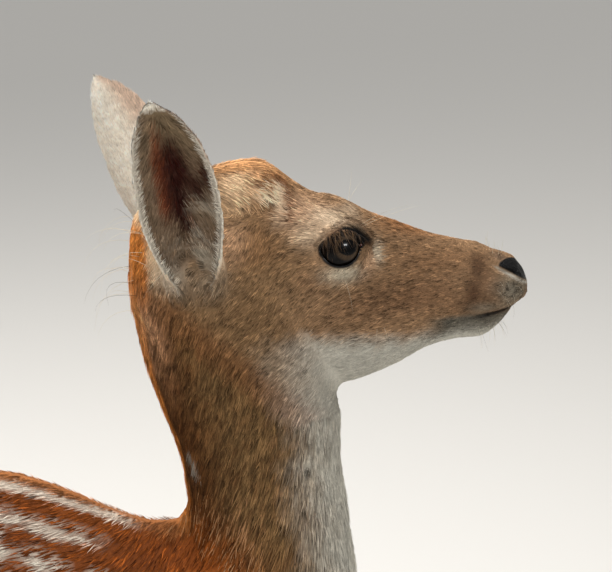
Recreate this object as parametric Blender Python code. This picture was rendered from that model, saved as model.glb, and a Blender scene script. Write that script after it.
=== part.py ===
"""A fallow doe in summer coat, standing with the head raised: a still, life-size model.

The flesh is one closed form, made from lofted masses (trunk, neck, head and four legs) that a voxel
remesh joins. Thin cuts then part it into named nodes. The ears, eyes, tail, claws and dewclaws are
solids of their own, fitted to the flesh with a small gap. Metres, +X towards the head, +Y to the
animal's left, +Z up. The origin is under the middle of the model, on the floor.
"""

import math

import bmesh
import bpy
import numpy as np
from mathutils import Matrix, Vector

# ---------------------------------------------------------------- driving dimensions
MM = 0.001  # the tables below are in millimetres
GAP = 0.35 * MM  # clearance between neighbouring solids
HEAD_YAW = math.radians(10.0)  # the head is turned a little to the animal's left
HEAD_PIVOT = Vector((-82, 0, -30)) * MM  # the joint of head and neck, in the head's own frame
HEAD_PLACE = Vector((235, 0, 940)) * MM  # the same joint in the animal's frame
EYE_RADIUS = 15.5 * MM
EYE_CENTRE = Vector((-1, 33.5, -4)) * MM  # in the head's frame, mirrored for the right eye
EYE_SEGMENTS, EYE_RINGS = 14, 9
FLESH_VOXEL = 4.0 * MM
FLESH_TRIANGLES = 4900
FINE_FACTOR = 0.02  # how strongly the face and feet keep their facets when the flesh is decimated
SETTLE_STEPS = 4
SOFTEN_STEPS = 50
SMOOTH_FACTOR = 0.5
FINE_FACE, FINE_FACE_REACH = Vector((30, 0, -20)) * MM, 0.13  # the face, in the head's frame
FINE_FEET_HEIGHT = 0.3
SHARP_ANGLE = math.radians(55)
CLAW_WIDTH = 19 * MM
CLAW_OFFSET = 8.9 * MM  # from the middle of the foot to the middle of a claw
CLAW_SPLAY = math.radians(2.5)
CORONET_HEEL, CORONET_TOE = -18 * MM, 18.5 * MM
SOLE_HEEL, SOLE_TOE = -18 * MM, 38 * MM
CLAW_LEVELS = [(0.0, 0.965), (0.06, 1.0), (0.5, 1.0), (1.0, 1.0)]  # share of the height, outline's size
CLAW_SIDES = 14
CLAW_INNER_FLATNESS = 0.72  # a claw is flatter where it faces its neighbour
CLAW_TAPER, CLAW_SOLE_TAPER = 0.18, 0.42  # how far the toe narrows, and how much more at the sole
DEWCLAW_LENGTH = 19 * MM
DEWCLAW_RADII = (6.2, 2.6)
DEWCLAW_DROP = Vector((0, 0, -6)) * MM  # from the fetlock's middle
DEWCLAW_ASIDE = 8.5  # millimetres
DEWCLAW_BEHIND = 0.55  # share of the leg's depth behind its path
DEWCLAW_WAY = (-0.55, 0.28, -0.79)  # back, outwards and down

# How many loops each loft has, and how many points each loop has.
TRUNK_GRID, NECK_GRID, HEAD_GRID = (90, 64), (60, 56), (110, 72)
LEG_GRID, HEEL_GRID, TAIL_GRID = (90, 28), (24, 16), (11, 10)
EAR_GRID, DEWCLAW_GRID = (13, 8), (4, 7)

# The cuts that part head from neck and neck from trunk, each through two points. Metres.
THROAT, NAPE = Vector((0.325, 0, 0.853)), Vector((0.165, 0, 0.986))
BREAST, WITHERS = Vector((0.345, 0, 0.655)), Vector((0.211, 0, 0.7645))
BODY_REACH, FOOT_REACH = 1.6, 0.2  # sizes of the blocks that make the cuts

# The head's frame has its origin midway between the eyes, +X to the nose and +Z up.
# Each row: place along x, top, bottom, then half widths high up, in the middle and low down.
HEAD_ROWS = [
    (-149, 6, -46, 14, 20, 14),
    (-140, 25, -66, 23, 33, 24),
    (-122, 40, -82, 30, 43, 31),
    (-100, 49, -94, 34, 46, 34),
    (-80, 54, -102, 34, 45, 35),
    (-60, 56, -107, 31, 43, 35),
    (-42, 51, -111, 31, 42, 34),
    (-24, 38, -113, 34, 43, 33),
    (-12, 31, -114, 36, 44, 32),
    (2, 28, -116, 36, 43, 31),
    (14, 23, -115, 33, 41, 30),
    (28, 15.5, -111, 28, 37, 28),
    (50, 7, -101.5, 22, 31, 25),
    (72, -1.5, -90, 18, 27, 21.5),
    (92, -6.5, -86, 16, 25, 18),
    (108, -10, -85, 15.5, 24, 16.5),
    (120, -14, -80.5, 15.5, 23.5, 14.5),
    (130, -17.5, -73, 15.5, 22, 12.5),
    (138, -22.5, -64, 14, 19, 9.5),
    (143.5, -31, -57, 10, 13.5, 6.5),
    (147.5, -42, -51, 3, 4, 2.5),
]
# Each row: height z, front (throat), back (nape), then half widths at the front, middle and back.
NECK_ROWS = [
    (1004, 240, 188, 12, 18, 14),
    (988, 258, 171, 28, 38, 29),
    (962, 278, 167.5, 35, 45, 34),
    (930, 301, 168, 38, 47, 34),
    (900, 318, 172.5, 38, 46, 32),
    (870, 320, 179.5, 35, 44.5, 30),
    (842, 325.5, 189, 34, 43, 28),
    (815, 325.5, 199, 34, 43.5, 27),
    (790, 327.5, 205, 36, 46, 28),
    (762, 331, 209, 40, 51, 31),
    (735, 334.5, 203, 44, 57, 38),
    (705, 338, 197, 47, 62, 44),
    (665, 343, 205, 49, 66, 48),
    (620, 348, 222, 48, 66, 50),
    (575, 342, 240, 40, 56, 46),
    (540, 315, 250, 28, 40, 34),
]
# Each row: place along x, top, bottom, then half widths high up, in the middle and low down.
TRUNK_ROWS = [
    (357, 612, 580, 7, 11, 8),
    (352, 630, 562, 20, 29, 22),
    (326, 690, 514, 44, 60, 42),
    (285, 718, 484, 56, 78, 52),
    (245, 738, 466, 58, 88, 58),
    (210, 752, 457, 52, 93, 61),
    (180, 760.5, 453, 47, 96, 64),
    (146, 773, 451, 47, 99, 68),
    (110, 788, 451, 49, 103, 72),
    (70, 797, 452, 55, 109, 77),
    (20, 795, 454, 62, 117, 83),
    (-40, 790, 458, 70, 123, 87),
    (-100, 788, 465, 74, 123, 86),
    (-160, 795, 477, 75, 116, 78),
    (-215, 808, 497, 72, 106, 66),
    (-265, 817, 525, 69, 96, 54),
    (-315, 814, 556, 64, 86, 44),
    (-360, 798, 586, 56, 74, 38),
    (-400, 766, 618, 43, 56, 32),
    (-425, 733, 650, 28, 36, 22),
    (-438, 703, 676, 10, 13, 9),
]
# Limbs follow a path. Each row: x, y, z of the path, then half sizes to the side, fore and aft.
FORELEG_ROWS = [
    (222, 40, 728, 22, 36, 40),
    (232, 55, 685, 35, 60, 62),
    (240, 67, 635, 38, 68, 72),
    (244, 75, 580, 39, 66, 72),
    (226, 77, 505, 33, 46, 58),
    (228, 72, 425, 25.5, 30, 34),
    (234, 69, 345, 18.5, 21.5, 22.5),
    (239, 67, 292, 18.5, 20.5, 19.5),
    (240, 67, 268, 18.5, 20, 19.5),
    (239, 66, 235, 13.5, 16, 15.5),
    (239, 66, 180, 11.8, 13.2, 14),
    (240, 66, 125, 12.5, 14, 15.5),
    (242, 66, 98, 16, 16.5, 18.5),
    (250, 66, 72, 14.5, 14.5, 15),
    (258, 66, 48, 16.5, 17, 17),
    (264, 66, 31, 19, 19.5, 19),
    (269, 66, 16, 19, 20, 19),
]
HINDLEG_ROWS = [
    (-285, 42, 760, 30, 72, 80),
    (-292, 62, 700, 44, 88, 108),
    (-300, 74, 620, 51, 96, 116),
    (-311, 80, 535, 43, 102, 88),
    (-340, 78, 455, 28, 60, 60),
    (-374, 74, 395, 18.5, 31, 44),
    (-398, 72, 352, 18.5, 22, 27),
    (-403, 72, 310, 15, 17.5, 18.5),
    (-398, 72, 230, 12.5, 14.5, 15.5),
    (-391, 72, 135, 13, 15, 16.5),
    (-387, 72, 104, 17, 18, 20),
    (-377, 72, 76, 15, 15, 16),
    (-368, 72, 50, 17, 17.5, 17.5),
    (-362, 72, 31, 19.5, 19.5, 19.5),
    (-357, 72, 16, 19.5, 20, 19.5),
]
HEEL_ROWS = [
    (-396, 75, 470, 7, 10, 9),
    (-412, 73.5, 425, 8.5, 11, 10),
    (-425, 72, 390, 10.5, 13, 11),
    (-422, 72, 366, 11, 15, 11),
    (-411, 72, 335, 9, 12, 9),
]
TAIL_ROWS = [
    (-380, 0, 771, 18, 14, 12),
    (-409, 0, 756, 24, 15, 13),
    (-431, 0, 728, 28, 14, 13),
    (-443, 0, 692, 29, 13, 13),
    (-447, 0, 655, 25, 11, 12),
    (-448, 0, 620, 17, 8, 9),
    (-448, 0, 596, 5, 3, 3),
]
# Each leg's own region: its sloping inner face as (y, z), its outer side, and its reach along x. Metres.
FORELEG_BLOCK = {
    "inner_face": [(0.004, -0.05), (0.026, 0.442), (0.135, 0.60)],
    "outer": 0.24,
    "x": (0.130, 0.345),
}
HINDLEG_BLOCK = {
    "inner_face": [(0.004, -0.05), (0.024, 0.52), (0.135, 0.70)],
    "outer": 0.24,
    "x": (-0.52, -0.175),
}
CORONET_ROW = -2  # the row of a leg's table where the hoof begins
FETLOCK_ROW = -5
# Name, table, the side it stands on (+1 is left) and how far the hoof is swung forward.
LEGS = [
    ("foreleg_left", FORELEG_ROWS, 1, -14),
    ("foreleg_right", FORELEG_ROWS, -1, 10),
    ("hindleg_left", HINDLEG_ROWS, 1, 40),
    ("hindleg_right", HINDLEG_ROWS, -1, -8),
]
SWING_FROM = 700  # the height at which a leg begins to swing

# Places where one mass flows into the next, in millimetres, with the reach of each, on both sides.
SOFT_SPOTS = [
    (215, 60, 715, 90),  # neck into shoulder
    (300, 40, 690, 70),
    (170, 80, 640, 90),  # shoulder into ribs
    (330, 20, 560, 60),
    (215, 50, 475, 50),  # elbow and breast
    (-195, 80, 600, 80),  # flank into thigh
    (-230, 60, 500, 60),
    (-390, 50, 600, 70),  # thigh into buttock
    (-300, 50, 700, 80),
    (190, 20, 985, 35),  # neck into the back of the head
    (212, 45, 952, 32),
]

# Swells and hollows of the head, on both sides: place, reach along each axis, push outwards.
HEAD_RELIEF = [
    (0, 42, 17, 20, 12, 9, 4.5),  # brow
    (-20, 45, -8, 16, 12, 12, 3),  # back rim of the orbit
    (4, 44, -17, 20, 12, 8, 3),  # lower rim of the orbit
    (31, 33, -6, 9, 8, 7, -2.5),  # tear pit
    (35, 30, -50, 22, 12, 16, -2.5),  # hollow of the cheek
    (-28, 42, -60, 30, 16, 28, 4),  # chewing muscle
    (-44, 38, 22, 15, 15, 14, -4),  # temple
    (-52, 22, 50, 12, 12, 10, 4),  # bump of the crown
    (-101, 44, -14, 24, 14, 22, 7),  # root of the ear
    (62, 18, -10, 24, 8, 9, -2),  # side of the nasal bone
    (124, 15, -25, 9, 7, 8, 2.5),  # wing of the nostril
    (137, 11, -31, 5, 4, 4.5, -5),  # nostril
    (122, 18, -50, 14, 10, 8, 1.5),  # upper lip
    (115, 14, -73, 14, 10, 6, 1.5),  # lower lip
]
MOUTH_CORNER = (87, -66)  # x and z, in the head's frame
MOUTH_FRONT = (140, -57)
MOUTH_DEPTH, MOUTH_WIDTH = 3.0, 2.6

# Each row: share of the ear's length, half width along the curve, half angle of the curl, and how far
# the middle leans to the rear (negative).
EAR_ROWS = [
    (0.00, 34, 150, 0),
    (0.10, 35, 134, 0),
    (0.20, 35.5, 108, 0),
    (0.32, 36, 88, 0),
    (0.45, 35.5, 70, 0),
    (0.60, 33.5, 58, 0),
    (0.74, 29.5, 49, -1),
    (0.86, 22.5, 40, -2.5),
    (0.94, 14, 32, -4.5),
    (1.00, 3.5, 24, -7.5),
]
EAR_THICKNESS = (9.0, 4.5)  # at the base and along the rest
EAR_THICK_ROOT = 0.3  # share of the length over which it thins
EAR_BOW = 6.0  # how far the middle of the ear bends towards its hollow, in millimetres
# Base, tip and the way the hollow faces, in the head's frame with +Y outwards.
EARS = {
    "ear_right": (-1, (-101, 27, -26), (-132, 86, 115), (-0.16, 1.0, 0.10)),
    "ear_left": (1, (-101, 27, -26), (-151, 84, 107), (0.0, 1.0, 0.10)),
}

# ---------------------------------------------------------------- curves and loops


def along(rows, count, key=0):
    """count rows read from a table: each column follows a curve through its knots without overshoot."""
    rows = np.array(rows, float)
    if key is None:
        steps = np.linalg.norm(np.diff(rows[:, :3], axis=0), axis=1)
        knots = np.concatenate([[0], np.cumsum(steps)])
    else:
        knots = rows[:, key] * np.sign(rows[-1, key] - rows[0, key])
    gaps = np.diff(knots)
    slopes = np.diff(rows, axis=0) / gaps[:, None]
    tangents = np.zeros_like(rows)
    same_way = slopes[:-1] * slopes[1:] > 0
    before, after = gaps[:-1, None], gaps[1:, None]
    weights = (after * slopes[:-1] + before * slopes[1:]) / (before + after)
    steepest = 3 * np.minimum(abs(slopes[:-1]), abs(slopes[1:]))
    tangents[1:-1] = np.where(same_way, np.sign(weights) * np.minimum(abs(weights), steepest), 0)
    tangents[0], tangents[-1] = slopes[0], slopes[-1]
    at = np.linspace(knots[0], knots[-1], count)
    k = np.clip(np.searchsorted(knots, at, side="right") - 1, 0, len(gaps) - 1)
    t = ((at - knots[k]) / gaps[k])[:, None]
    h = gaps[k][:, None]
    return (
        rows[k] * (1 + 2 * t) * (1 - t) ** 2
        + tangents[k] * h * t * (1 - t) ** 2
        + rows[k + 1] * t * t * (3 - 2 * t)
        + tangents[k + 1] * h * t * t * (t - 1)
    )


def profile_loops(rows, count, sides):
    """Loops of (place, height, side): an egg-shaped section whose fullness the three half widths set."""
    place, top, bottom, high, middle, low = along(rows, count).T[:, :, None]
    turn = np.linspace(0, 2 * math.pi, sides, endpoint=False)[None]
    c, s = np.cos(turn), np.sin(turn)
    at_45 = math.sqrt(0.5)
    high, low = high / at_45, low / at_45
    width = middle + c * (high - low) / (2 * at_45) + c * c * ((high + low) / 2 - middle) / 0.5
    height = (top + bottom) / 2 + c * (top - bottom) / 2
    return place + 0 * c, height, width * s


def limb_loops(rows, count, sides, side=1, swing=0.0):
    """Loops square to a limb's path, in metres. side is +1 or -1 and mirrors the limb."""
    x, y, z, across, fore, aft = along(rows, count, key=None).T
    x = x + swing * np.clip((SWING_FROM - z) / SWING_FROM, 0, 1)
    path = np.stack([x, y * side, z], axis=1)
    ahead = np.gradient(path, axis=0)
    ahead /= np.linalg.norm(ahead, axis=1)[:, None]
    lateral = np.array([0, 1.0, 0]) - ahead * ahead[:, 1:2]
    lateral /= np.linalg.norm(lateral, axis=1)[:, None]
    front = np.cross(lateral, ahead) * -1
    turn = np.linspace(0, 2 * math.pi, sides, endpoint=False)
    c, s = np.cos(turn)[None, :, None], np.sin(turn)[None, :, None]
    depth = np.where(c > 0, fore[:, None, None], aft[:, None, None])
    width = across[:, None, None]
    return (path[:, None] + front[:, None] * depth * c + lateral[:, None] * width * s) * MM


def grid_normals(loops):
    """Outward normals of closed loops, from the differences along and around."""
    around = np.roll(loops, -1, axis=1) - np.roll(loops, 1, axis=1)
    forward = np.gradient(loops, axis=0)
    normals = np.cross(around, forward)
    normals /= np.linalg.norm(normals, axis=2)[:, :, None] + 1e-12
    outward = ((loops - loops.mean(axis=1, keepdims=True)) * normals).sum()
    return normals * np.sign(outward)


def trunk_loops(count, sides):
    x, z, y = profile_loops(TRUNK_ROWS, count, sides)
    return np.stack([x, y, z], axis=2) * MM


def neck_loops(count, sides):
    z, x, y = profile_loops(NECK_ROWS, count, sides)
    return np.stack([x, y, z], axis=2) * MM


def head_relief(points):
    """How far each point of the head, in millimetres, is pushed out by its swells and hollows."""
    x, y, z = points[..., 0], abs(points[..., 1]), points[..., 2]
    push = np.zeros_like(x)
    for cx, cy, cz, rx, ry, rz, amount in HEAD_RELIEF:
        push += amount * np.exp(-(((x - cx) / rx) ** 2) - ((y - cy) / ry) ** 2 - ((z - cz) / rz) ** 2)
    share = (x - MOUTH_CORNER[0]) / (MOUTH_FRONT[0] - MOUTH_CORNER[0])
    line = MOUTH_CORNER[1] + (MOUTH_FRONT[1] - MOUTH_CORNER[1]) * share
    open_ends = np.clip(share * 4 + 0.4, 0, 1)
    return push - MOUTH_DEPTH * open_ends * np.exp(-(((z - line) / MOUTH_WIDTH) ** 2))


def head_matrix():
    turned = Matrix.Rotation(HEAD_YAW, 4, "Z")
    return Matrix.Translation(HEAD_PLACE) @ turned @ Matrix.Translation(-HEAD_PIVOT)


def to_animal(points):
    """Points of the head's frame in the animal's frame."""
    matrix = np.array(head_matrix())
    return points @ matrix[:3, :3].T + matrix[:3, 3]


def head_loops(count, sides):
    x, z, y = profile_loops(HEAD_ROWS, count, sides)
    loops = np.stack([x, y, z], axis=2)
    loops = loops + grid_normals(loops) * head_relief(loops)[..., None]
    return to_animal(loops * MM)


def ear_loops(name, count, across):
    """C-shaped loops up an ear: the outer face from edge to edge, then the inner face back."""
    side, base, tip, facing = EARS[name]
    base, tip, facing = (np.array(v, float) * (1, side, 1) for v in (base, tip, facing))
    length = np.linalg.norm(tip - base)
    up = (tip - base) / length
    facing -= up * (facing @ up)
    facing /= np.linalg.norm(facing)
    sideways = np.cross(up, facing)
    rearwards = 1 if sideways[0] > 0 else -1
    share, half_width, curl, lean = along(EAR_ROWS, count).T
    curl = np.radians(curl)
    radius = half_width / curl
    turn = np.linspace(-1, 1, across)[None] * curl[:, None]
    out, inward = np.sin(turn), 1 - np.cos(turn)
    bow = EAR_BOW * np.sin(share * math.pi)
    back = base + up * (share * length)[:, None] + facing * bow[:, None]
    back += sideways * (lean * rearwards)[:, None]
    root, rest = EAR_THICKNESS
    thick = rest + (root - rest) * np.clip(1 - share / EAR_THICK_ROOT, 0, 1)
    to_rims = np.sqrt(np.clip(1 - np.linspace(-1, 1, across) ** 2, 0.06, 1))
    to_tip = np.clip(4 * (1.06 - share), 0, 1)
    taper = to_rims[None] * to_tip[:, None]
    faces = []
    for way in (1, -1):
        r = radius[:, None] + way * taper * thick[:, None] / 2
        face = back[:, None] + sideways * (out * r)[..., None]
        face = face + facing * (radius[:, None] - np.cos(turn) * r)[..., None]
        faces.append(face if way == 1 else face[:, ::-1])
    return to_animal(np.concatenate(faces, axis=1) * MM)


# ---------------------------------------------------------------- mesh helpers


def material(name, colour, roughness):
    made = bpy.data.materials.new(name)
    made.use_nodes = True
    shader = made.node_tree.nodes["Principled BSDF"]
    shader.inputs["Base Color"].default_value = (*colour, 1.0)
    shader.inputs["Roughness"].default_value = roughness
    shader.inputs["Metallic"].default_value = 0.0
    made.diffuse_color = (*colour, 1.0)
    return made


def add_object(name, mesh, look=None, helper=False):
    made = bpy.data.objects.new(name, mesh)
    bpy.context.scene.collection.objects.link(made)
    if look is not None:
        mesh.materials.append(look)
        mesh.shade_smooth()
        mesh.set_sharp_from_angle(angle=SHARP_ANGLE)
    if helper:
        made.hide_render = True
        made.display_type = "WIRE"
    return made


def add_loft(bm, loops):
    """Joins closed loops into a tube with both ends capped."""
    rings = [[bm.verts.new(p) for p in loop] for loop in loops.tolist()]
    for lower, upper in zip(rings, rings[1:]):
        for i in range(len(lower)):
            j = (i + 1) % len(lower)
            bm.faces.new((lower[i], lower[j], upper[j], upper[i]))
    bm.faces.new(rings[0][::-1])
    bm.faces.new(rings[-1])


def loft_mesh(name, *lofts):
    bm = bmesh.new()
    for loops in lofts:
        add_loft(bm, loops)
    bmesh.ops.recalc_face_normals(bm, faces=bm.faces)
    mesh = bpy.data.meshes.new(name)
    bm.to_mesh(mesh)
    bm.free()
    return mesh


def evaluated_mesh(obj, name):
    graph = bpy.context.evaluated_depsgraph_get()
    mesh = bpy.data.meshes.new_from_object(obj.evaluated_get(graph), depsgraph=graph)
    mesh.name = name
    return mesh


def boolean(obj, cutter, operation):
    modifier = obj.modifiers.new(f"{operation.lower()}_{cutter.name}"[:60], "BOOLEAN")
    modifier.operation = operation
    modifier.object = cutter
    modifier.solver = "EXACT"


def half_space(name, point, normal, reach=BODY_REACH):
    """A large block with one face on a plane. The normal points from the plane into the block."""
    bm = bmesh.new()
    bmesh.ops.create_cube(bm, size=reach)
    mesh = bpy.data.meshes.new(name)
    bm.to_mesh(mesh)
    bm.free()
    made = add_object(name, mesh, helper=True)
    normal = Vector(normal).normalized()
    turn = normal.to_track_quat("Z", "Y").to_matrix().to_4x4()
    made.matrix_world = Matrix.Translation(Vector(point) + normal * reach / 2) @ turn
    return made


def prism(name, outline, x_low, x_high):
    """An outline in Y and Z, drawn out along X."""
    bm = bmesh.new()
    face = bm.faces.new([bm.verts.new((x_low, y, z)) for y, z in outline])
    drawn = bmesh.ops.extrude_face_region(bm, geom=[face])["geom"]
    far_end = [item for item in drawn if isinstance(item, bmesh.types.BMVert)]
    bmesh.ops.translate(bm, vec=(x_high - x_low, 0, 0), verts=far_end)
    bmesh.ops.recalc_face_normals(bm, faces=bm.faces)
    mesh = bpy.data.meshes.new(name)
    bm.to_mesh(mesh)
    bm.free()
    return add_object(name, mesh, helper=True)


# ---------------------------------------------------------------- flesh


def vertex_points(mesh):
    points = np.empty(len(mesh.vertices) * 3)
    mesh.vertices.foreach_get("co", points)
    return points.reshape(-1, 3)


def weigh(obj, name, weight):
    """A vertex group holding the weights, in tenths."""
    group = obj.vertex_groups.new(name=name)
    tenths = np.round(np.clip(weight, 0, 1) * 10)
    for level in range(1, 11):
        group.add(np.nonzero(tenths == level)[0].tolist(), level / 10, "REPLACE")
    return group.name


def softness(points):
    """Near 1 where one mass flows into the next."""
    weight = np.zeros(len(points))
    for x, y, z, reach in SOFT_SPOTS:
        for side in (1, -1):
            distance = np.linalg.norm(points - np.array((x, y * side, z)) * MM, axis=1)
            weight = np.maximum(weight, 1.3 - distance / (reach * MM))
    return weight


def fineness(points):
    """Near 1 on the face and the feet, where the facets are kept small."""
    face = np.array(head_matrix() @ FINE_FACE)
    near_face = np.clip(1.5 - np.linalg.norm(points - face, axis=1) / FINE_FACE_REACH, 0, 1)
    near_feet = np.clip(1.4 - points[:, 2] / FINE_FEET_HEIGHT, 0, 1)
    return np.maximum(0.9 * near_face, 0.4 * near_feet)


def flesh_mesh():
    """The whole flesh as one closed, decimated mesh. The head keeps more of its detail."""
    lofts = [trunk_loops(*TRUNK_GRID), neck_loops(*NECK_GRID), head_loops(*HEAD_GRID)]
    for _, rows, side, swing in LEGS:
        lofts.append(limb_loops(rows, *LEG_GRID, side, swing))
        if rows is HINDLEG_ROWS:
            lofts.append(limb_loops(HEEL_ROWS, *HEEL_GRID, side, swing))
    lofted = add_object("flesh_lofts", loft_mesh("flesh_lofts", *lofts), helper=True)
    remesh = lofted.modifiers.new("join", "REMESH")
    remesh.mode = "VOXEL"
    remesh.voxel_size = FLESH_VOXEL
    settle = lofted.modifiers.new("settle", "SMOOTH")
    settle.factor = SMOOTH_FACTOR
    settle.iterations = SETTLE_STEPS
    joined = add_object("flesh_joined", evaluated_mesh(lofted, "flesh_joined"), helper=True)
    points = vertex_points(joined.data)
    soften = joined.modifiers.new("soften", "SMOOTH")
    soften.factor = SMOOTH_FACTOR
    soften.iterations = SOFTEN_STEPS
    soften.vertex_group = weigh(joined, "soft", softness(points))
    decimate = joined.modifiers.new("facets", "DECIMATE")
    decimate.ratio = FLESH_TRIANGLES / (2 * len(joined.data.polygons))
    decimate.vertex_group = weigh(joined, "fine", fineness(points))
    decimate.invert_vertex_group = True
    decimate.vertex_group_factor = FINE_FACTOR
    mesh = evaluated_mesh(joined, "flesh_facets")
    bpy.data.objects.remove(lofted)
    bpy.data.objects.remove(joined)
    return mesh


def leg_block(name, rows, side, grow):
    """The region that a leg takes from the flesh: a prism whose inner face slopes outwards."""
    block = FORELEG_BLOCK if rows is FORELEG_ROWS else HINDLEG_BLOCK
    (inner_floor, floor), (inner_groin, groin), (inner_top, top) = block["inner_face"]
    outer = block["outer"]
    x_low, x_high = block["x"]
    outline = [
        (inner_floor - grow, floor),
        (inner_groin - grow, groin),
        (inner_top - grow, top + grow),
        (outer + grow, top + grow),
        (outer + grow, floor),
    ]
    outline = [(side * y, z) for y, z in outline]
    return prism(name, outline, x_low - grow, x_high + grow)


def swung(row, side, swing):
    """A row's place on the limb's path, on its side and swung forward, in metres."""
    x, y, z = row[:3]
    return Vector((x + swing * (1 - z / SWING_FROM), y * side, z)) * MM


def coronet(rows, side, swing):
    """The point and direction of a leg's path where its hoof begins."""
    point = swung(rows[CORONET_ROW], side, swing)
    above = swung(rows[CORONET_ROW - 1], side, swing)
    return point, (point - above).normalized()


# ---------------------------------------------------------------- hooves


def claw_mesh(name, point, direction, inward):
    """One claw: a pointed sole on the floor, rising to the slanting coronet. inward is +1 or -1 in Y."""
    turn = np.linspace(0, 2 * math.pi, CLAW_SIDES, endpoint=False)
    c, s = np.cos(turn), np.sin(turn)
    flatness = np.where(s * inward > 0, CLAW_INNER_FLATNESS, 1.0)
    splay = CLAW_SPLAY * -inward
    loops = []
    for share, grow in CLAW_LEVELS:
        heel = share * CORONET_HEEL + (1 - share) * SOLE_HEEL
        toe = share * CORONET_TOE + (1 - share) * SOLE_TOE
        narrow = 1 - (CLAW_TAPER + CLAW_SOLE_TAPER * (1 - share)) * np.clip(c, 0, 1) ** 2
        x = (toe + heel) / 2 + c * (toe - heel) / 2 * grow
        y = s * CLAW_WIDTH / 2 * narrow * flatness * grow - inward * CLAW_OFFSET
        across_x = x * math.cos(splay) - y * math.sin(splay)
        across_y = x * math.sin(splay) + y * math.cos(splay)
        slope = (across_x * direction.x + across_y * direction.y) / direction.z
        top = point.z - slope - GAP / abs(direction.z)
        loops.append(np.column_stack([point.x + across_x, point.y + across_y, share * top]))
    return loft_mesh(name, np.array(loops))


def dewclaw_loops(fetlock, outwards, aft):
    """A small horny cone behind the fetlock, pointing down and outwards."""
    levels, sides = DEWCLAW_GRID
    share = np.linspace(0, 1, levels)
    radius = (DEWCLAW_RADII[0] + (DEWCLAW_RADII[1] - DEWCLAW_RADII[0]) * share**2) * MM
    start = np.array(fetlock) + np.array([-DEWCLAW_BEHIND * aft, DEWCLAW_ASIDE * outwards, 0]) * MM
    way = np.array(DEWCLAW_WAY) * (1, outwards, 1)
    across = np.cross(way, (0, 1, 0))
    across /= np.linalg.norm(across)
    other = np.cross(way, across)
    turn = np.linspace(0, 2 * math.pi, sides, endpoint=False)
    path = start + way * (share * DEWCLAW_LENGTH)[:, None]
    ring = np.cos(turn)[None, :, None] * across + np.sin(turn)[None, :, None] * other
    return path[:, None] + ring * radius[:, None, None]


# ---------------------------------------------------------------- the animal


def clear_scene():
    for obj in list(bpy.data.objects):
        bpy.data.objects.remove(obj)


def build_flesh_nodes(coat):
    mesh = flesh_mesh()
    whole = add_object("flesh_whole", mesh, helper=True)
    planes = {}
    for name, low, high in (("head", THROAT, NAPE), ("neck", BREAST, WITHERS)):
        normal = Vector(((high - low).z, 0, -(high - low).x)).normalized()
        planes[name] = (
            half_space(f"{name}_side", low + normal * GAP / 2, normal),
            half_space(f"{name}_side_grown", low - normal * GAP / 2, normal),
        )
    nodes = {}
    for name in ("head", "neck", "trunk", *(leg[0] for leg in LEGS)):
        nodes[name] = add_object(name, mesh.copy(), coat)
    boolean(nodes["head"], planes["head"][0], "INTERSECT")
    boolean(nodes["neck"], planes["head"][1], "DIFFERENCE")
    boolean(nodes["neck"], planes["neck"][0], "INTERSECT")
    boolean(nodes["trunk"], planes["neck"][1], "DIFFERENCE")
    for name, rows, side, swing in LEGS:
        boolean(nodes[name], leg_block(f"{name}_block", rows, side, 0.0), "INTERSECT")
        boolean(nodes["trunk"], leg_block(f"{name}_block_grown", rows, side, GAP), "DIFFERENCE")
        point, direction = coronet(rows, side, swing)
        boolean(nodes[name], half_space(f"{name}_coronet", point, direction, FOOT_REACH), "DIFFERENCE")
    return whole, nodes


def ball(name, radius, place, look=None, helper=False):
    bm = bmesh.new()
    bmesh.ops.create_uvsphere(bm, u_segments=EYE_SEGMENTS, v_segments=EYE_RINGS, radius=radius)
    bmesh.ops.rotate(bm, verts=bm.verts, matrix=Matrix.Rotation(math.pi / 2, 3, "X"))
    mesh = bpy.data.meshes.new(name)
    bm.to_mesh(mesh)
    bm.free()
    made = add_object(name, mesh, look, helper)
    made.location = place
    return made


def build_eyes(head, look):
    for name, side in (("eye_left", 1), ("eye_right", -1)):
        place = head_matrix() @ Vector((EYE_CENTRE.x, EYE_CENTRE.y * side, EYE_CENTRE.z))
        ball(name, EYE_RADIUS, place, look)
        boolean(head, ball(f"{name}_socket", EYE_RADIUS + GAP, place, helper=True), "DIFFERENCE")


def build_grown_flesh(whole):
    """The flesh swollen by the gap: what grows out of the flesh is cut by it."""
    grown = add_object("flesh_grown", whole.data.copy(), helper=True)
    swell = grown.modifiers.new("gap", "DISPLACE")
    swell.strength = GAP
    swell.mid_level = 0.0
    return grown


def build_ears_and_tail(grown, look):
    for name in EARS:
        ear = add_object(name, loft_mesh(name, ear_loops(name, *EAR_GRID)), look)
        boolean(ear, grown, "DIFFERENCE")
    tail = add_object("tail", loft_mesh("tail", limb_loops(TAIL_ROWS, *TAIL_GRID)), look)
    boolean(tail, grown, "DIFFERENCE")


def build_foot(leg, rows, side, swing, grown, look):
    """Two claws under the leg and two dewclaws behind its fetlock."""
    point, direction = coronet(rows, side, swing)
    fetlock = swung(rows[FETLOCK_ROW], side, swing) + DEWCLAW_DROP
    for place, outwards in (("inner", -side), ("outer", side)):
        name = f"claw_{leg}_{place}"
        add_object(name, claw_mesh(name, point, direction, -outwards), look)
        name = f"dewclaw_{leg}_{place}"
        loops = dewclaw_loops(fetlock, outwards, rows[FETLOCK_ROW][5])
        dewclaw = add_object(name, loft_mesh(name, loops), look)
        boolean(dewclaw, grown, "DIFFERENCE")


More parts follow.
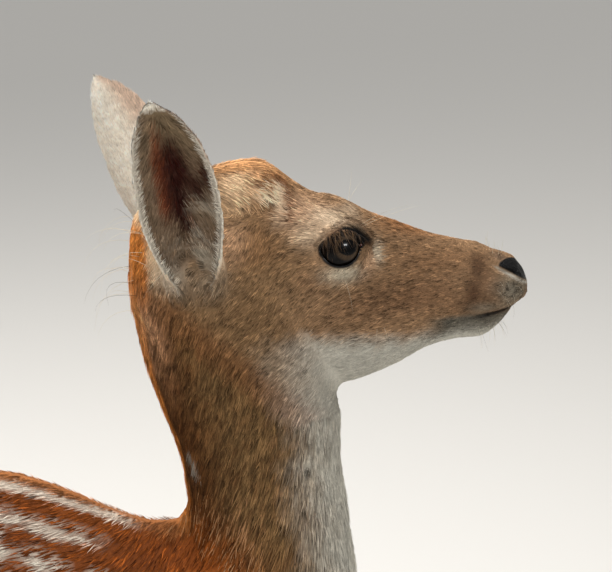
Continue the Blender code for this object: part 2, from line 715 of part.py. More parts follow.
def centre_on_floor():
    """Moves everything so that the origin is under the middle of the model."""
    bpy.context.view_layer.update()
    graph = bpy.context.evaluated_depsgraph_get()
    corners = []
    for obj in bpy.context.scene.objects:
        if not obj.hide_render:
            points = vertex_points(obj.evaluated_get(graph).to_mesh())
            world = np.array(obj.matrix_world)
            points = points @ world[:3, :3].T + world[:3, 3]
            corners += [points.min(axis=0), points.max(axis=0)]
    low, high = np.min(corners, axis=0), np.max(corners, axis=0)
    shift = Vector((-(low[0] + high[0]) / 2, -(low[1] + high[1]) / 2, -low[2]))
    for obj in bpy.context.scene.objects:
        obj.location += shift


def main():
    clear_scene()
    looks = {
        "coat": material("coat", (0.46, 0.24, 0.11), 0.75),
        "horn": material("horn", (0.05, 0.04, 0.035), 0.45),
        "eye": material("eye", (0.03, 0.018, 0.01), 0.08),
    }
    whole, nodes = build_flesh_nodes(looks["coat"])
    build_eyes(nodes["head"], looks["eye"])
    grown = build_grown_flesh(whole)
    build_ears_and_tail(grown, looks["coat"])
    for leg, rows, side, swing in LEGS:
        build_foot(leg, rows, side, swing, grown, looks["horn"])
    centre_on_floor()


main()
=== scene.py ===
"""Fallow deer doe, a still life-size model in summer coat: skin, coat, eyes, hooves and the studio."""

import math

import bmesh
import bpy
import numpy as np
from mathutils import Matrix, Vector
from mathutils.kdtree import KDTree


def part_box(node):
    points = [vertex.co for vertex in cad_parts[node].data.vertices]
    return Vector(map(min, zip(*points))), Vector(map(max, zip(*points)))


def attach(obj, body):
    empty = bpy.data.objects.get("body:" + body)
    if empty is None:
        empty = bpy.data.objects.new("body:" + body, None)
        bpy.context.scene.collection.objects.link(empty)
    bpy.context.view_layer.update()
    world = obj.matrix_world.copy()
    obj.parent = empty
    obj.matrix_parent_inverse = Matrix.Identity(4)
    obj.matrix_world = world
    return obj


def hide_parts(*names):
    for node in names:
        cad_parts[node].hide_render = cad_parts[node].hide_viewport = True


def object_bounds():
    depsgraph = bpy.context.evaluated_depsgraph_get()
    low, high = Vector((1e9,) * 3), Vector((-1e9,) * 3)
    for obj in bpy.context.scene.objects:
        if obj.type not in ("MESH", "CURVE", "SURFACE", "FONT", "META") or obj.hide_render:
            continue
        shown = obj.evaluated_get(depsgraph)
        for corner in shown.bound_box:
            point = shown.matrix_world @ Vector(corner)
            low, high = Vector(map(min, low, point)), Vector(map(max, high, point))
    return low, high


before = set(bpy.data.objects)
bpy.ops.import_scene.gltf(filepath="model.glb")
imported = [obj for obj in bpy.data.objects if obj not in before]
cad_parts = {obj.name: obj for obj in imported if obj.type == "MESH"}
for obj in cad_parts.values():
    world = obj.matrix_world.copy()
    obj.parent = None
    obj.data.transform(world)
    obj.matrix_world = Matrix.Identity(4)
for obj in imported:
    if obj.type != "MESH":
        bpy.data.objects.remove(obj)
cad_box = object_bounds()

# ---------------------------------------------------------------- the animal's shape

MM = 0.001  # the tables below are in millimetres
HEAD_YAW = math.radians(10.0)  # the head is turned a little to the animal's left
HEAD_PIVOT = Vector((-82, 0, -30)) * MM  # the joint of head and neck, in the head's own frame
HEAD_PLACE = Vector((235, 0, 940)) * MM  # the same joint in the animal's frame
EYE_RADIUS = 15.5 * MM
EYE_CENTRE = Vector((-1, 33.5, -4)) * MM  # in the head's frame, mirrored for the right eye
CLAW_WIDTH = 19 * MM
CLAW_OFFSET = 8.9 * MM  # from the middle of the foot to the middle of a claw
CLAW_SPLAY = math.radians(2.5)
CORONET_HEEL, CORONET_TOE = -18 * MM, 18.5 * MM
SOLE_HEEL, SOLE_TOE = -18 * MM, 38 * MM
CLAW_INNER_FLATNESS = 0.72  # a claw is flatter where it faces its neighbour
CLAW_TAPER, CLAW_SOLE_TAPER = 0.18, 0.42  # how far the toe narrows, and how much more at the sole
DEWCLAW_LENGTH = 19 * MM
DEWCLAW_RADII = (6.2, 2.6)
DEWCLAW_DROP = Vector((0, 0, -6)) * MM  # from the fetlock's middle
DEWCLAW_ASIDE = 8.5  # millimetres
DEWCLAW_BEHIND = 0.55  # share of the leg's depth behind its path
DEWCLAW_WAY = (-0.55, 0.28, -0.79)  # back, outwards and down
# The head's frame has its origin midway between the eyes, +X to the nose and +Z up.
# Each row: place along x, top, bottom, then half widths high up, in the middle and low down.
HEAD_ROWS = [
    (-149, 6, -46, 14, 20, 14),
    (-140, 25, -66, 23, 33, 24),
    (-122, 40, -82, 30, 43, 31),
    (-100, 49, -94, 34, 46, 34),
    (-80, 54, -102, 34, 45, 35),
    (-60, 56, -107, 31, 43, 35),
    (-42, 51, -111, 31, 42, 34),
    (-24, 38, -113, 34, 43, 33),
    (-12, 31, -114, 36, 44, 32),
    (2, 28, -116, 36, 43, 31),
    (14, 23, -115, 33, 41, 30),
    (28, 15.5, -111, 28, 37, 28),
    (50, 7, -101.5, 22, 31, 25),
    (72, -1.5, -90, 18, 27, 21.5),
    (92, -6.5, -86, 16, 25, 18),
    (108, -10, -85, 15.5, 24, 16.5),
    (120, -14, -80.5, 15.5, 23.5, 14.5),
    (130, -17.5, -73, 15.5, 22, 12.5),
    (138, -22.5, -64, 14, 19, 9.5),
    (143.5, -31, -57, 10, 13.5, 6.5),
    (147.5, -42, -51, 3, 4, 2.5),
]
# Each row: height z, front (throat), back (nape), then half widths at the front, middle and back.
NECK_ROWS = [
    (1004, 240, 188, 12, 18, 14),
    (988, 258, 171, 28, 38, 29),
    (962, 278, 167.5, 35, 45, 34),
    (930, 301, 168, 38, 47, 34),
    (900, 318, 172.5, 38, 46, 32),
    (870, 320, 179.5, 35, 44.5, 30),
    (842, 325.5, 189, 34, 43, 28),
    (815, 325.5, 199, 34, 43.5, 27),
    (790, 327.5, 205, 36, 46, 28),
    (762, 331, 209, 40, 51, 31),
    (735, 334.5, 203, 44, 57, 38),
    (705, 338, 197, 47, 62, 44),
    (665, 343, 205, 49, 66, 48),
    (620, 348, 222, 48, 66, 50),
    (575, 342, 240, 40, 56, 46),
    (540, 315, 250, 28, 40, 34),
]
# Each row: place along x, top, bottom, then half widths high up, in the middle and low down.
TRUNK_ROWS = [
    (357, 612, 580, 7, 11, 8),
    (352, 630, 562, 20, 29, 22),
    (326, 690, 514, 44, 60, 42),
    (285, 718, 484, 56, 78, 52),
    (245, 738, 466, 58, 88, 58),
    (210, 752, 457, 52, 93, 61),
    (180, 760.5, 453, 47, 96, 64),
    (146, 773, 451, 47, 99, 68),
    (110, 788, 451, 49, 103, 72),
    (70, 797, 452, 55, 109, 77),
    (20, 795, 454, 62, 117, 83),
    (-40, 790, 458, 70, 123, 87),
    (-100, 788, 465, 74, 123, 86),
    (-160, 795, 477, 75, 116, 78),
    (-215, 808, 497, 72, 106, 66),
    (-265, 817, 525, 69, 96, 54),
    (-315, 814, 556, 64, 86, 44),
    (-360, 798, 586, 56, 74, 38),
    (-400, 766, 618, 43, 56, 32),
    (-425, 733, 650, 28, 36, 22),
    (-438, 703, 676, 10, 13, 9),
]
# Limbs follow a path. Each row: x, y, z of the path, then half sizes to the side, fore and aft.
FORELEG_ROWS = [
    (222, 40, 728, 22, 36, 40),
    (232, 55, 685, 35, 60, 62),
    (240, 67, 635, 38, 68, 72),
    (244, 75, 580, 39, 66, 72),
    (226, 77, 505, 33, 46, 58),
    (228, 72, 425, 25.5, 30, 34),
    (234, 69, 345, 18.5, 21.5, 22.5),
    (239, 67, 292, 18.5, 20.5, 19.5),
    (240, 67, 268, 18.5, 20, 19.5),
    (239, 66, 235, 13.5, 16, 15.5),
    (239, 66, 180, 11.8, 13.2, 14),
    (240, 66, 125, 12.5, 14, 15.5),
    (242, 66, 98, 16, 16.5, 18.5),
    (250, 66, 72, 14.5, 14.5, 15),
    (258, 66, 48, 16.5, 17, 17),
    (264, 66, 31, 19, 19.5, 19),
    (269, 66, 16, 19, 20, 19),
]
HINDLEG_ROWS = [
    (-285, 42, 760, 30, 72, 80),
    (-292, 62, 700, 44, 88, 108),
    (-300, 74, 620, 51, 96, 116),
    (-311, 80, 535, 43, 102, 88),
    (-340, 78, 455, 28, 60, 60),
    (-374, 74, 395, 18.5, 31, 44),
    (-398, 72, 352, 18.5, 22, 27),
    (-403, 72, 310, 15, 17.5, 18.5),
    (-398, 72, 230, 12.5, 14.5, 15.5),
    (-391, 72, 135, 13, 15, 16.5),
    (-387, 72, 104, 17, 18, 20),
    (-377, 72, 76, 15, 15, 16),
    (-368, 72, 50, 17, 17.5, 17.5),
    (-362, 72, 31, 19.5, 19.5, 19.5),
    (-357, 72, 16, 19.5, 20, 19.5),
]
HEEL_ROWS = [
    (-396, 75, 470, 7, 10, 9),
    (-412, 73.5, 425, 8.5, 11, 10),
    (-425, 72, 390, 10.5, 13, 11),
    (-422, 72, 366, 11, 15, 11),
    (-411, 72, 335, 9, 12, 9),
]
TAIL_ROWS = [
    (-380, 0, 771, 18, 14, 12),
    (-409, 0, 756, 24, 15, 13),
    (-431, 0, 728, 28, 14, 13),
    (-443, 0, 692, 29, 13, 13),
    (-447, 0, 655, 25, 11, 12),
    (-448, 0, 620, 17, 8, 9),
    (-448, 0, 596, 5, 3, 3),
]
CORONET_ROW = -2  # the row of a leg's table where the hoof begins
FETLOCK_ROW = -5
# Name, table, the side it stands on (+1 is left) and how far the hoof is swung forward.
LEGS = [
    ("foreleg_left", FORELEG_ROWS, 1, -14),
    ("foreleg_right", FORELEG_ROWS, -1, 10),
    ("hindleg_left", HINDLEG_ROWS, 1, 40),
    ("hindleg_right", HINDLEG_ROWS, -1, -8),
]
SWING_FROM = 700  # the height at which a leg begins to swing
# Places where one mass flows into the next, in millimetres, with the reach of each, on both sides.
SOFT_SPOTS = [
    (215, 60, 715, 90),  # neck into shoulder
    (300, 40, 690, 70),
    (170, 80, 640, 90),  # shoulder into ribs
    (330, 20, 560, 60),
    (215, 50, 475, 50),  # elbow and breast
    (-195, 80, 600, 80),  # flank into thigh
    (-230, 60, 500, 60),
    (-390, 50, 600, 70),  # thigh into buttock
    (-300, 50, 700, 80),
    (190, 20, 985, 35),  # neck into the back of the head
    (212, 45, 952, 32),
]
# Swells and hollows of the head, on both sides: place, reach along each axis, push outwards.
HEAD_RELIEF = [
    (0, 42, 17, 20, 12, 9, 4.5),  # brow
    (-20, 45, -8, 16, 12, 12, 3),  # back rim of the orbit
    (4, 44, -17, 20, 12, 8, 3),  # lower rim of the orbit
    (31, 33, -6, 9, 8, 7, -2.5),  # tear pit
    (35, 30, -50, 22, 12, 16, -2.5),  # hollow of the cheek
    (-28, 42, -60, 30, 16, 28, 4),  # chewing muscle
    (-44, 38, 22, 15, 15, 14, -4),  # temple
    (-52, 22, 50, 12, 12, 10, 4),  # bump of the crown
    (-101, 44, -14, 24, 14, 22, 7),  # root of the ear
    (62, 18, -10, 24, 8, 9, -2),  # side of the nasal bone
    (124, 15, -25, 9, 7, 8, 2.5),  # wing of the nostril
    (137, 11, -31, 5, 4, 4.5, -5),  # nostril
    (122, 18, -50, 14, 10, 8, 1.5),  # upper lip
    (115, 14, -73, 14, 10, 6, 1.5),  # lower lip
]
MOUTH_CORNER = (87, -66)  # x and z, in the head's frame
MOUTH_FRONT = (140, -57)
MOUTH_DEPTH, MOUTH_WIDTH = 3.0, 2.6
# Each row: share of the ear's length, half width along the curve, half angle of the curl, and how far
# the middle leans to the rear (negative).
EAR_ROWS = [
    (0.00, 34, 150, 0),
    (0.10, 35, 134, 0),
    (0.20, 35.5, 108, 0),
    (0.32, 36, 88, 0),
    (0.45, 35.5, 70, 0),
    (0.60, 33.5, 58, 0),
    (0.74, 29.5, 49, -1),
    (0.86, 22.5, 40, -2.5),
    (0.94, 14, 32, -4.5),
    (1.00, 3.5, 24, -7.5),
]
EAR_THICKNESS = (9.0, 4.5)  # at the base and along the rest
EAR_THICK_ROOT = 0.3  # share of the length over which it thins
EAR_BOW = 6.0  # how far the middle of the ear bends towards its hollow, in millimetres
# Base, tip and the way the hollow faces, in the head's frame with +Y outwards.
EARS = {
    "ear_right": (-1, (-101, 27, -26), (-132, 86, 115), (-0.16, 1.0, 0.10)),
    "ear_left": (1, (-101, 27, -26), (-151, 84, 107), (0.0, 1.0, 0.10)),
}


def smooth(x, low, high):
    """0 at low, 1 at high and eased between them."""
    t = np.clip((x - low) / (high - low), 0, 1)
    return t * t * (3 - 2 * t)


def unit(v):
    return v / (np.linalg.norm(v, axis=-1, keepdims=True) + 1e-12)


def mound(*axes):
    """1 where all values are at their middles, falling softly. Each axis: values, middle, reach."""
    total = 0.0
    for values, middle, reach in axes:
        total = total + ((values - middle) / reach) ** 2
    return np.exp(-total)


def mirrored(place, side):
    """A place or direction of the left side, given to the left (+1) or the right (-1)."""
    return np.array(place, float) * (1, side, 1)


def full_turn(sides):
    return np.linspace(0, 2 * math.pi, sides, endpoint=False)


def along(rows, count, key=0):
    """count rows read from a table: each column follows a curve through its knots without overshoot."""
    rows = np.array(rows, float)
    if key is None:
        steps = np.linalg.norm(np.diff(rows[:, :3], axis=0), axis=1)
        knots = np.concatenate([[0], np.cumsum(steps)])
    else:
        knots = rows[:, key] * np.sign(rows[-1, key] - rows[0, key])
    gaps = np.diff(knots)
    slopes = np.diff(rows, axis=0) / gaps[:, None]
    tangents = np.zeros_like(rows)
    same_way = slopes[:-1] * slopes[1:] > 0
    before, after = gaps[:-1, None], gaps[1:, None]
    weights = (after * slopes[:-1] + before * slopes[1:]) / (before + after)
    steepest = 3 * np.minimum(abs(slopes[:-1]), abs(slopes[1:]))
    tangents[1:-1] = np.where(same_way, np.sign(weights) * np.minimum(abs(weights), steepest), 0)
    tangents[0], tangents[-1] = slopes[0], slopes[-1]
    at = np.linspace(knots[0], knots[-1], count)
    k = np.clip(np.searchsorted(knots, at, side="right") - 1, 0, len(gaps) - 1)
    t = ((at - knots[k]) / gaps[k])[:, None]
    h = gaps[k][:, None]
    return (
        rows[k] * (1 + 2 * t) * (1 - t) ** 2
        + tangents[k] * h * t * (1 - t) ** 2
        + rows[k + 1] * t * t * (3 - 2 * t)
        + tangents[k + 1] * h * t * t * (t - 1)
    )


def profile_loops(rows, count, sides):
    """Loops of (place, height, side): an egg-shaped section whose fullness the three half widths set."""
    place, top, bottom, high, middle, low = along(rows, count).T[:, :, None]
    turn = full_turn(sides)[None]
    c, s = np.cos(turn), np.sin(turn)
    at_45 = math.sqrt(0.5)
    high, low = high / at_45, low / at_45
    width = middle + c * (high - low) / (2 * at_45) + c * c * ((high + low) / 2 - middle) / 0.5
    height = (top + bottom) / 2 + c * (top - bottom) / 2
    return place + 0 * c, height, width * s


def limb_loops(rows, count, sides, side=1, swing=0.0):
    """Loops square to a limb's path, in metres. side is +1 or -1 and mirrors the limb."""
    x, y, z, across, fore, aft = along(rows, count, key=None).T
    x = x + swing * np.clip((SWING_FROM - z) / SWING_FROM, 0, 1)
    path = np.stack([x, y * side, z], axis=1)
    ahead = np.gradient(path, axis=0)
    ahead /= np.linalg.norm(ahead, axis=1)[:, None]
    lateral = np.array([0, 1.0, 0]) - ahead * ahead[:, 1:2]
    lateral /= np.linalg.norm(lateral, axis=1)[:, None]
    front = np.cross(ahead, lateral)
    turn = full_turn(sides)
    c, s = np.cos(turn)[None, :, None], np.sin(turn)[None, :, None]
    depth = np.where(c > 0, fore[:, None, None], aft[:, None, None])
    width = across[:, None, None]
    return (path[:, None] + front[:, None] * depth * c + lateral[:, None] * width * s) * MM


def grid_normals(loops):
    """Outward normals of closed loops, from the differences along and around."""
    around = np.roll(loops, -1, axis=1) - np.roll(loops, 1, axis=1)
    forward = np.gradient(loops, axis=0)
    normals = np.cross(around, forward)
    normals /= np.linalg.norm(normals, axis=2)[:, :, None] + 1e-12
    outward = ((loops - loops.mean(axis=1, keepdims=True)) * normals).sum()
    return normals * np.sign(outward)


def trunk_loops(count, sides):
    x, z, y = profile_loops(TRUNK_ROWS, count, sides)
    return np.stack([x, y, z], axis=2) * MM


def neck_loops(count, sides):
    z, x, y = profile_loops(NECK_ROWS, count, sides)
    return np.stack([x, y, z], axis=2) * MM


def mouth_at(x):
    """Share of the mouth's length and height of its line, at places along the head."""
    share = (x - MOUTH_CORNER[0]) / (MOUTH_FRONT[0] - MOUTH_CORNER[0])
    return share, MOUTH_CORNER[1] + (MOUTH_FRONT[1] - MOUTH_CORNER[1]) * share


def head_relief(points):
    """How far each point of the head, in millimetres, is pushed out by its swells and hollows."""
    x, y, z = points[..., 0], abs(points[..., 1]), points[..., 2]
    push = np.zeros_like(x)
    for cx, cy, cz, rx, ry, rz, amount in HEAD_RELIEF:
        push += amount * mound((x, cx, rx), (y, cy, ry), (z, cz, rz))
    share, line = mouth_at(x)
    open_ends = np.clip(share * 4 + 0.4, 0, 1)
    return push - MOUTH_DEPTH * open_ends * mound((z, line, MOUTH_WIDTH))


def head_matrix():
    turned = Matrix.Rotation(HEAD_YAW, 4, "Z")
    return Matrix.Translation(HEAD_PLACE) @ turned @ Matrix.Translation(-HEAD_PIVOT)


def to_animal(points):
    """Points of the head's frame in the animal's frame."""
    matrix = np.array(head_matrix())
    return points @ matrix[:3, :3].T + matrix[:3, 3]


def head_loops(count, sides):
    x, z, y = profile_loops(HEAD_ROWS, count, sides)
    loops = np.stack([x, y, z], axis=2)
    loops = loops + grid_normals(loops) * head_relief(loops)[..., None]
    return to_animal(loops * MM)


def ear_loops(name, count, across):
    """C-shaped loops up an ear: the outer face from edge to edge, then the inner face back."""
    side, *places = EARS[name]
    base, tip, facing = (mirrored(place, side) for place in places)
    length = np.linalg.norm(tip - base)
    up = (tip - base) / length
    facing -= up * (facing @ up)
    facing /= np.linalg.norm(facing)
    sideways = np.cross(up, facing)
    rearwards = 1 if sideways[0] > 0 else -1
    share, half_width, curl, lean = along(EAR_ROWS, count).T
    slim = EAR_SLIM[name] * smooth(share, *EAR_SLIM_FROM_TO)
    half_width = half_width * (1 - slim)
    lean = lean - EAR_SLIM_LEAN * slim
    curl = np.radians(curl)
    radius = half_width / curl
    turn = np.linspace(-1, 1, across)[None] * curl[:, None]
    bow = EAR_BOW * np.sin(share * math.pi)
    back = base + up * (share * length)[:, None] + facing * bow[:, None]
    back += sideways * (lean * rearwards)[:, None]
    root, rest = EAR_THICKNESS
    thick = rest + (root - rest) * np.clip(1 - share / EAR_THICK_ROOT, 0, 1)
    to_rims = np.sqrt(np.clip(1 - np.linspace(-1, 1, across) ** 2, EAR_RIM_SHARE**2, 1))
    to_tip = np.clip(4 * (1.06 - share), EAR_TIP_SHARE, 1)
    taper = to_rims[None] * to_tip[:, None]
    faces = []
    for way in (1, -1):
        r = radius[:, None] + way * taper * thick[:, None] / 2
        face = back[:, None] + sideways * (np.sin(turn) * r)[..., None]
        face = face + facing * (radius[:, None] - np.cos(turn) * r)[..., None]
        faces.append(face[:, ::way])
    return to_animal(np.concatenate(faces, axis=1) * MM)


def add_loft(bm, loops):
    """Joins closed loops into a tube with both ends capped."""
    rings = [[bm.verts.new(p) for p in loop] for loop in loops.tolist()]
    for lower, upper in zip(rings, rings[1:]):
        for i in range(len(lower)):
            j = (i + 1) % len(lower)
            bm.faces.new((lower[i], lower[j], upper[j], upper[i]))
    bm.faces.new(rings[0][::-1])
    bm.faces.new(rings[-1])


def mesh_of(bm, name):
    """A new mesh of what a bmesh holds. The bmesh is freed."""
    mesh = bpy.data.meshes.new(name)
    bm.to_mesh(mesh)
    bm.free()
    return mesh


def loft_mesh(name, *lofts):
    bm = bmesh.new()
    for loops in lofts:
        add_loft(bm, loops)
    bmesh.ops.recalc_face_normals(bm, faces=bm.faces)
    return mesh_of(bm, name)


def new_object(name, data):
    made = bpy.data.objects.new(name, data)
    bpy.context.scene.collection.objects.link(made)
    return made


def apply_modifiers(obj, name):
    """The object's mesh with its modifiers applied. The object is removed."""
    graph = bpy.context.evaluated_depsgraph_get()
    mesh = bpy.data.meshes.new_from_object(obj.evaluated_get(graph), depsgraph=graph)
    mesh.name = name
    bpy.data.objects.remove(obj)
    return mesh


def vertex_points(mesh):
    points = np.empty(len(mesh.vertices) * 3)
    mesh.vertices.foreach_get("co", points)
    return points.reshape(-1, 3)


def set_points(mesh, points):
    mesh.vertices.foreach_set("co", points.astype(np.float32).ravel())
    mesh.update()


def mesh_normals(mesh):
    normals = np.empty(len(mesh.vertices) * 3)
    mesh.vertex_normals.foreach_get("vector", normals)
    return normals.reshape(-1, 3)


def paint(mesh, colours):
    """Gives each point its colour, which the materials read."""
    layer = mesh.attributes.new("coat_colour", "FLOAT_COLOR", "POINT")
    rgba = np.ones((len(colours), 4), np.float32)
    rgba[:, :3] = np.clip(colours, 0, 1)
    layer.data.foreach_set("color", rgba.ravel())


def tree_of(points):
    """A search tree over points."""
    tree = KDTree(len(points))
    for i, point in enumerate(points):
        tree.insert(point, i)
    tree.balance()
    return tree


def weigh(obj, name, weight):
    """A vertex group holding the weights, in tenths."""
    group = obj.vertex_groups.new(name=name)
    tenths = np.round(np.clip(weight, 0, 1) * 10)
    for level in range(1, 11):
        group.add(np.nonzero(tenths == level)[0].tolist(), level / 10, "REPLACE")
    return group.name


def softness(points):
    """Near 1 where one mass flows into the next."""
    weight = np.zeros(len(points))
    for *place, reach in SOFT_SPOTS:
        for side in (1, -1):
            distance = np.linalg.norm(points - mirrored(place, side) * MM, axis=1)
            weight = np.maximum(weight, 1.3 - distance / (reach * MM))
    return weight


def swung(row, side, swing):
    """A row's place on the limb's path, on its side and swung forward, in metres."""
    x, y, z = row[:3]
    return Vector((x + swing * (1 - z / SWING_FROM), y * side, z)) * MM


def coronet(rows, side, swing):
    """The point and direction of a leg's path where its hoof begins."""
    point = swung(rows[CORONET_ROW], side, swing)
    above = swung(rows[CORONET_ROW - 1], side, swing)
    return point, (point - above).normalized()


# ---------------------------------------------------------------- skin

SKIN_VOXEL = 2.0 * MM
SECOND_VOXEL = 0.9  # share of the first, when ears and tail are joined on
SMOOTHING_VOXEL = 4 * MM  # the voxel for which the steps below are meant
SETTLE_STEPS, SOFTEN_STEPS = 3, 50
HEAD_SPARED = 0.85  # how much of the settling the head is spared
BODY_COAT, LEG_THINNER, FOOT_COAT = 4.5, 2.6, 0.6  # depths of the coat, and how much less on the legs
FACE_COAT, MUZZLE_THINNER = 1.9, 1.5
EAR_COAT = 0.15
EAR_RIM_SHARE, EAR_TIP_SHARE = 0.42, 0.6  # the least thickness at the rims and the tip
EAR_SLIM = {"ear_right": 0.0, "ear_left": 0.15}
EAR_SLIM_FROM_TO = (0.45, 0.9)  # shares of the ear's length
EAR_SLIM_LEAN = 20.0
SKIN_TRIANGLES = 150000
FACE_GROUP_FACTOR = 0.02
TRUNK_FINE, NECK_FINE, HEAD_FINE = (200, 120), (140, 110), (300, 180)
LEG_FINE, HEEL_FINE, TAIL_FINE, EAR_FINE = (220, 56), (60, 30), (60, 40), (70, 36)

# The eye's own axes, in the head's frame: out through the middle of the lids, and where it looks.
EYE_OUT = (-0.183, 0.953, 0.243)
EYE_GAZE = (0.215, 0.935, 0.28)
# The lids' opening: angle from the nose's side, anticlockwise, and distance from the middle, in millimetres.
LID_OPENING = [
    (-18, 14.0),
    (0, 14.6),
    (11, 18.2),
    (28, 16.4),
    (51, 15.0),
    (72, 13.2),
    (109, 10.4),
    (147, 10.4),
    (183, 13.8),
    (210, 12.8),
    (242, 12.6),
    (274, 12.6),
    (311, 13.2),
]
LID_BLEND = 9.0
CANTHUS_FROM, CANTHUS_FALL = 13.2, 1.7  # beyond this the lids leave the ball and fall to the tear corner
LID_ROLL = 0.7
EYE_REACH = (-14, 30)  # how far in and out of an eye's middle its skin is shaped
LID_REACH = 22  # beyond the lids' edge
DIVIDED_RADIUS = 30  # round an eye's middle, where the skin is divided once
DIVIDED_BAND = 3.2  # on both sides of the lids' edge, where it is divided again
# Creases beside the eye: points ahead of and above the eye's middle, depth and half width.
EYE_CREASES = [
    ([(-17, 2), (-13, 7), (0, 15), (9, 20), (13, 20), (27, 8)], 1.5, 1.6),
    ([(-14, 1), (-9, 8), (1, 13.5)], 0.5, 0.9),
    ([(19, 4), (24, 2), (25.5, -4)], 1.6, 1.2),
    ([(15, -10.5), (30, -11)], 0.5, 0.7),
]
# All in millimetres of the head's frame.
MOUTH_GROOVE, MOUTH_GROOVE_WIDTH = 2.2, 1.1
NOSTRIL = (125, 16, -28.5)
NOSTRIL_RADII = (7.0, 6.0, 2.4)
NOSTRIL_DEPTH = 5.0
NOSTRIL_SLANT = 0.45
NOSE_DROP = 3.2  # how far the hair of the nose's top lies under the solid's
NOSE_BACK = 1.6  # how far the nose's front lies behind the solid's
WITHERS_FILL = 7.0  # in millimetres: how far the skin stands out in the corner of back and neck
EAR_READ_GRID = (60, 30)
EAR_REACH = 0.006  # metres: how near the ear's surface a point is taken to be on it
EARS_ABOVE = 0.925  # metres
LIP_BACK = 4.6  # how far the lower lip stands behind the upper one's front


def noise(points, scale, seed):
    """Smooth noise from -1 to 1, with features about scale across."""
    size = 32
    lattice = np.random.default_rng(seed).uniform(-1, 1, (size, size, size))
    place = points / scale
    cell = np.floor(place).astype(int)
    f = place - cell
    f = f * f * (3 - 2 * f)
    total = np.zeros(len(points))
    for i in (0, 1):
        for j in (0, 1):
            for k in (0, 1):
                share = np.abs(1 - i - f[:, 0]) * np.abs(1 - j - f[:, 1]) * np.abs(1 - k - f[:, 2])
                total += share * lattice[tuple(((cell + (i, j, k)) % size).T)]
    return total


def line_distance(x, y, line):
    """Distance of places in a plane from a line of a few points."""
    best = np.full(len(x), 1e9)
    for (ax, ay), (bx, by) in zip(line, line[1:]):
        length = (bx - ax) ** 2 + (by - ay) ** 2
        t = np.clip(((x - ax) * (bx - ax) + (y - ay) * (by - ay)) / length, 0, 1)
        best = np.minimum(best, np.hypot(x - ax - t * (bx - ax), y - ay - t * (by - ay)))
    return best


def in_head(points):
    """Points of the animal's frame, in metres, in the head's frame in millimetres."""
    back = np.array(head_matrix().inverted())
    return (points @ back[:3, :3].T + back[:3, 3]) / MM


def smoothing(obj, name, steps, group=""):
    modifier = obj.modifiers.new(name, "SMOOTH")
    modifier.factor = 0.5
    modifier.iterations = steps
    modifier.vertex_group = group


def remeshed(mesh, voxel):
    """An object with the mesh's overlapping parts joined into one closed skin."""
    name = mesh.name + "_joined"
    obj = new_object(mesh.name, mesh)
    modifier = obj.modifiers.new("join", "REMESH")
    modifier.mode = "VOXEL"
    modifier.voxel_size = voxel
    return new_object(name, apply_modifiers(obj, name))


def near_head(points):
    """1 on the head and ears, falling to 0 down the neck."""
    x, _, z = in_head(points).T
    return smooth(x * 0.64 + z * 0.77, -175, -120) * smooth(points[:, 2] / MM, 850, 890)


def joined_flesh(voxel):
    lofts = [trunk_loops(*TRUNK_FINE), neck_loops(*NECK_FINE), head_loops(*HEAD_FINE)]
    for _, rows, side, swing in LEGS:
        lofts.append(limb_loops(rows[: CORONET_ROW + 1], *LEG_FINE, side, swing))
        if rows is HINDLEG_ROWS:
            lofts.append(limb_loops(HEEL_ROWS, *HEEL_FINE, side, swing))
    obj = remeshed(loft_mesh("flesh", *lofts), voxel)
    points = vertex_points(obj.data)
    finer = (SMOOTHING_VOXEL / voxel) ** 2
    off_head = 1 - HEAD_SPARED * near_head(points)
    smoothing(obj, "settle", int(SETTLE_STEPS * finer), weigh(obj, "body", off_head))
    smoothing(obj, "soften", int(SOFTEN_STEPS * finer), weigh(obj, "soft", softness(points)))
    return apply_modifiers(obj, "flesh_soft")


def whole_skin():
    """Flesh, ears and tail as one closed mesh, coarse on the body and fine on the head."""
    voxel = SKIN_VOXEL * 1
    flesh = joined_flesh(voxel)
    bm = bmesh.new()
    bm.from_mesh(flesh)
    for name in EARS:
        add_loft(bm, ear_loops(name, *EAR_FINE))
    add_loft(bm, limb_loops(TAIL_ROWS, *TAIL_FINE))
    added = [face for face in bm.faces if face.index < 0 or face.index >= len(flesh.polygons)]
    bmesh.ops.recalc_face_normals(bm, faces=added)
    obj = remeshed(mesh_of(bm, "skin_parts"), voxel * SECOND_VOXEL)
    smoothing(obj, "settle", SETTLE_STEPS)
    decimate = obj.modifiers.new("facets", "DECIMATE")
    decimate.ratio = min(1, SKIN_TRIANGLES / (2 * len(obj.data.polygons)))
    decimate.vertex_group = weigh(obj, "fine", near_head(vertex_points(obj.data)))
    decimate.invert_vertex_group = True
    decimate.vertex_group_factor = FACE_GROUP_FACTOR
    return apply_modifiers(obj, "skin_facets")


def refine(mesh, near, times):
    """Divides the faces where near(points) holds."""
    bm = bmesh.new()
    bm.from_mesh(mesh)
    bmesh.ops.triangulate(bm, faces=bm.faces)
    for level in range(times):
        bm.verts.index_update()
        points = np.array([v.co for v in bm.verts])
        inside = near(points, level)
        edges = [e for e in bm.edges if inside[e.verts[0].index] or inside[e.verts[1].index]]
        bmesh.ops.subdivide_edges(bm, edges=edges, cuts=1, use_grid_fill=True)
        bmesh.ops.triangulate(bm, faces=[f for f in bm.faces if len(f.verts) > 3])
    bm.to_mesh(mesh)
    bm.free()


def eye_middle(side):
    """An eye's middle, in millimetres of the head's frame."""
    return mirrored(EYE_CENTRE, side) / MM


def eye_axes(side, way=EYE_OUT):
    """Ahead, up and out at an eye, in the head's frame, square to the way it faces."""
    out = unit(mirrored(way, side))
    up = unit(np.array([0, 0, 1.0]) - out * out[2])
    ahead = unit(np.array([1.0, 0, 0]) - out * out[0] - up * up[0])
    return ahead, up, out


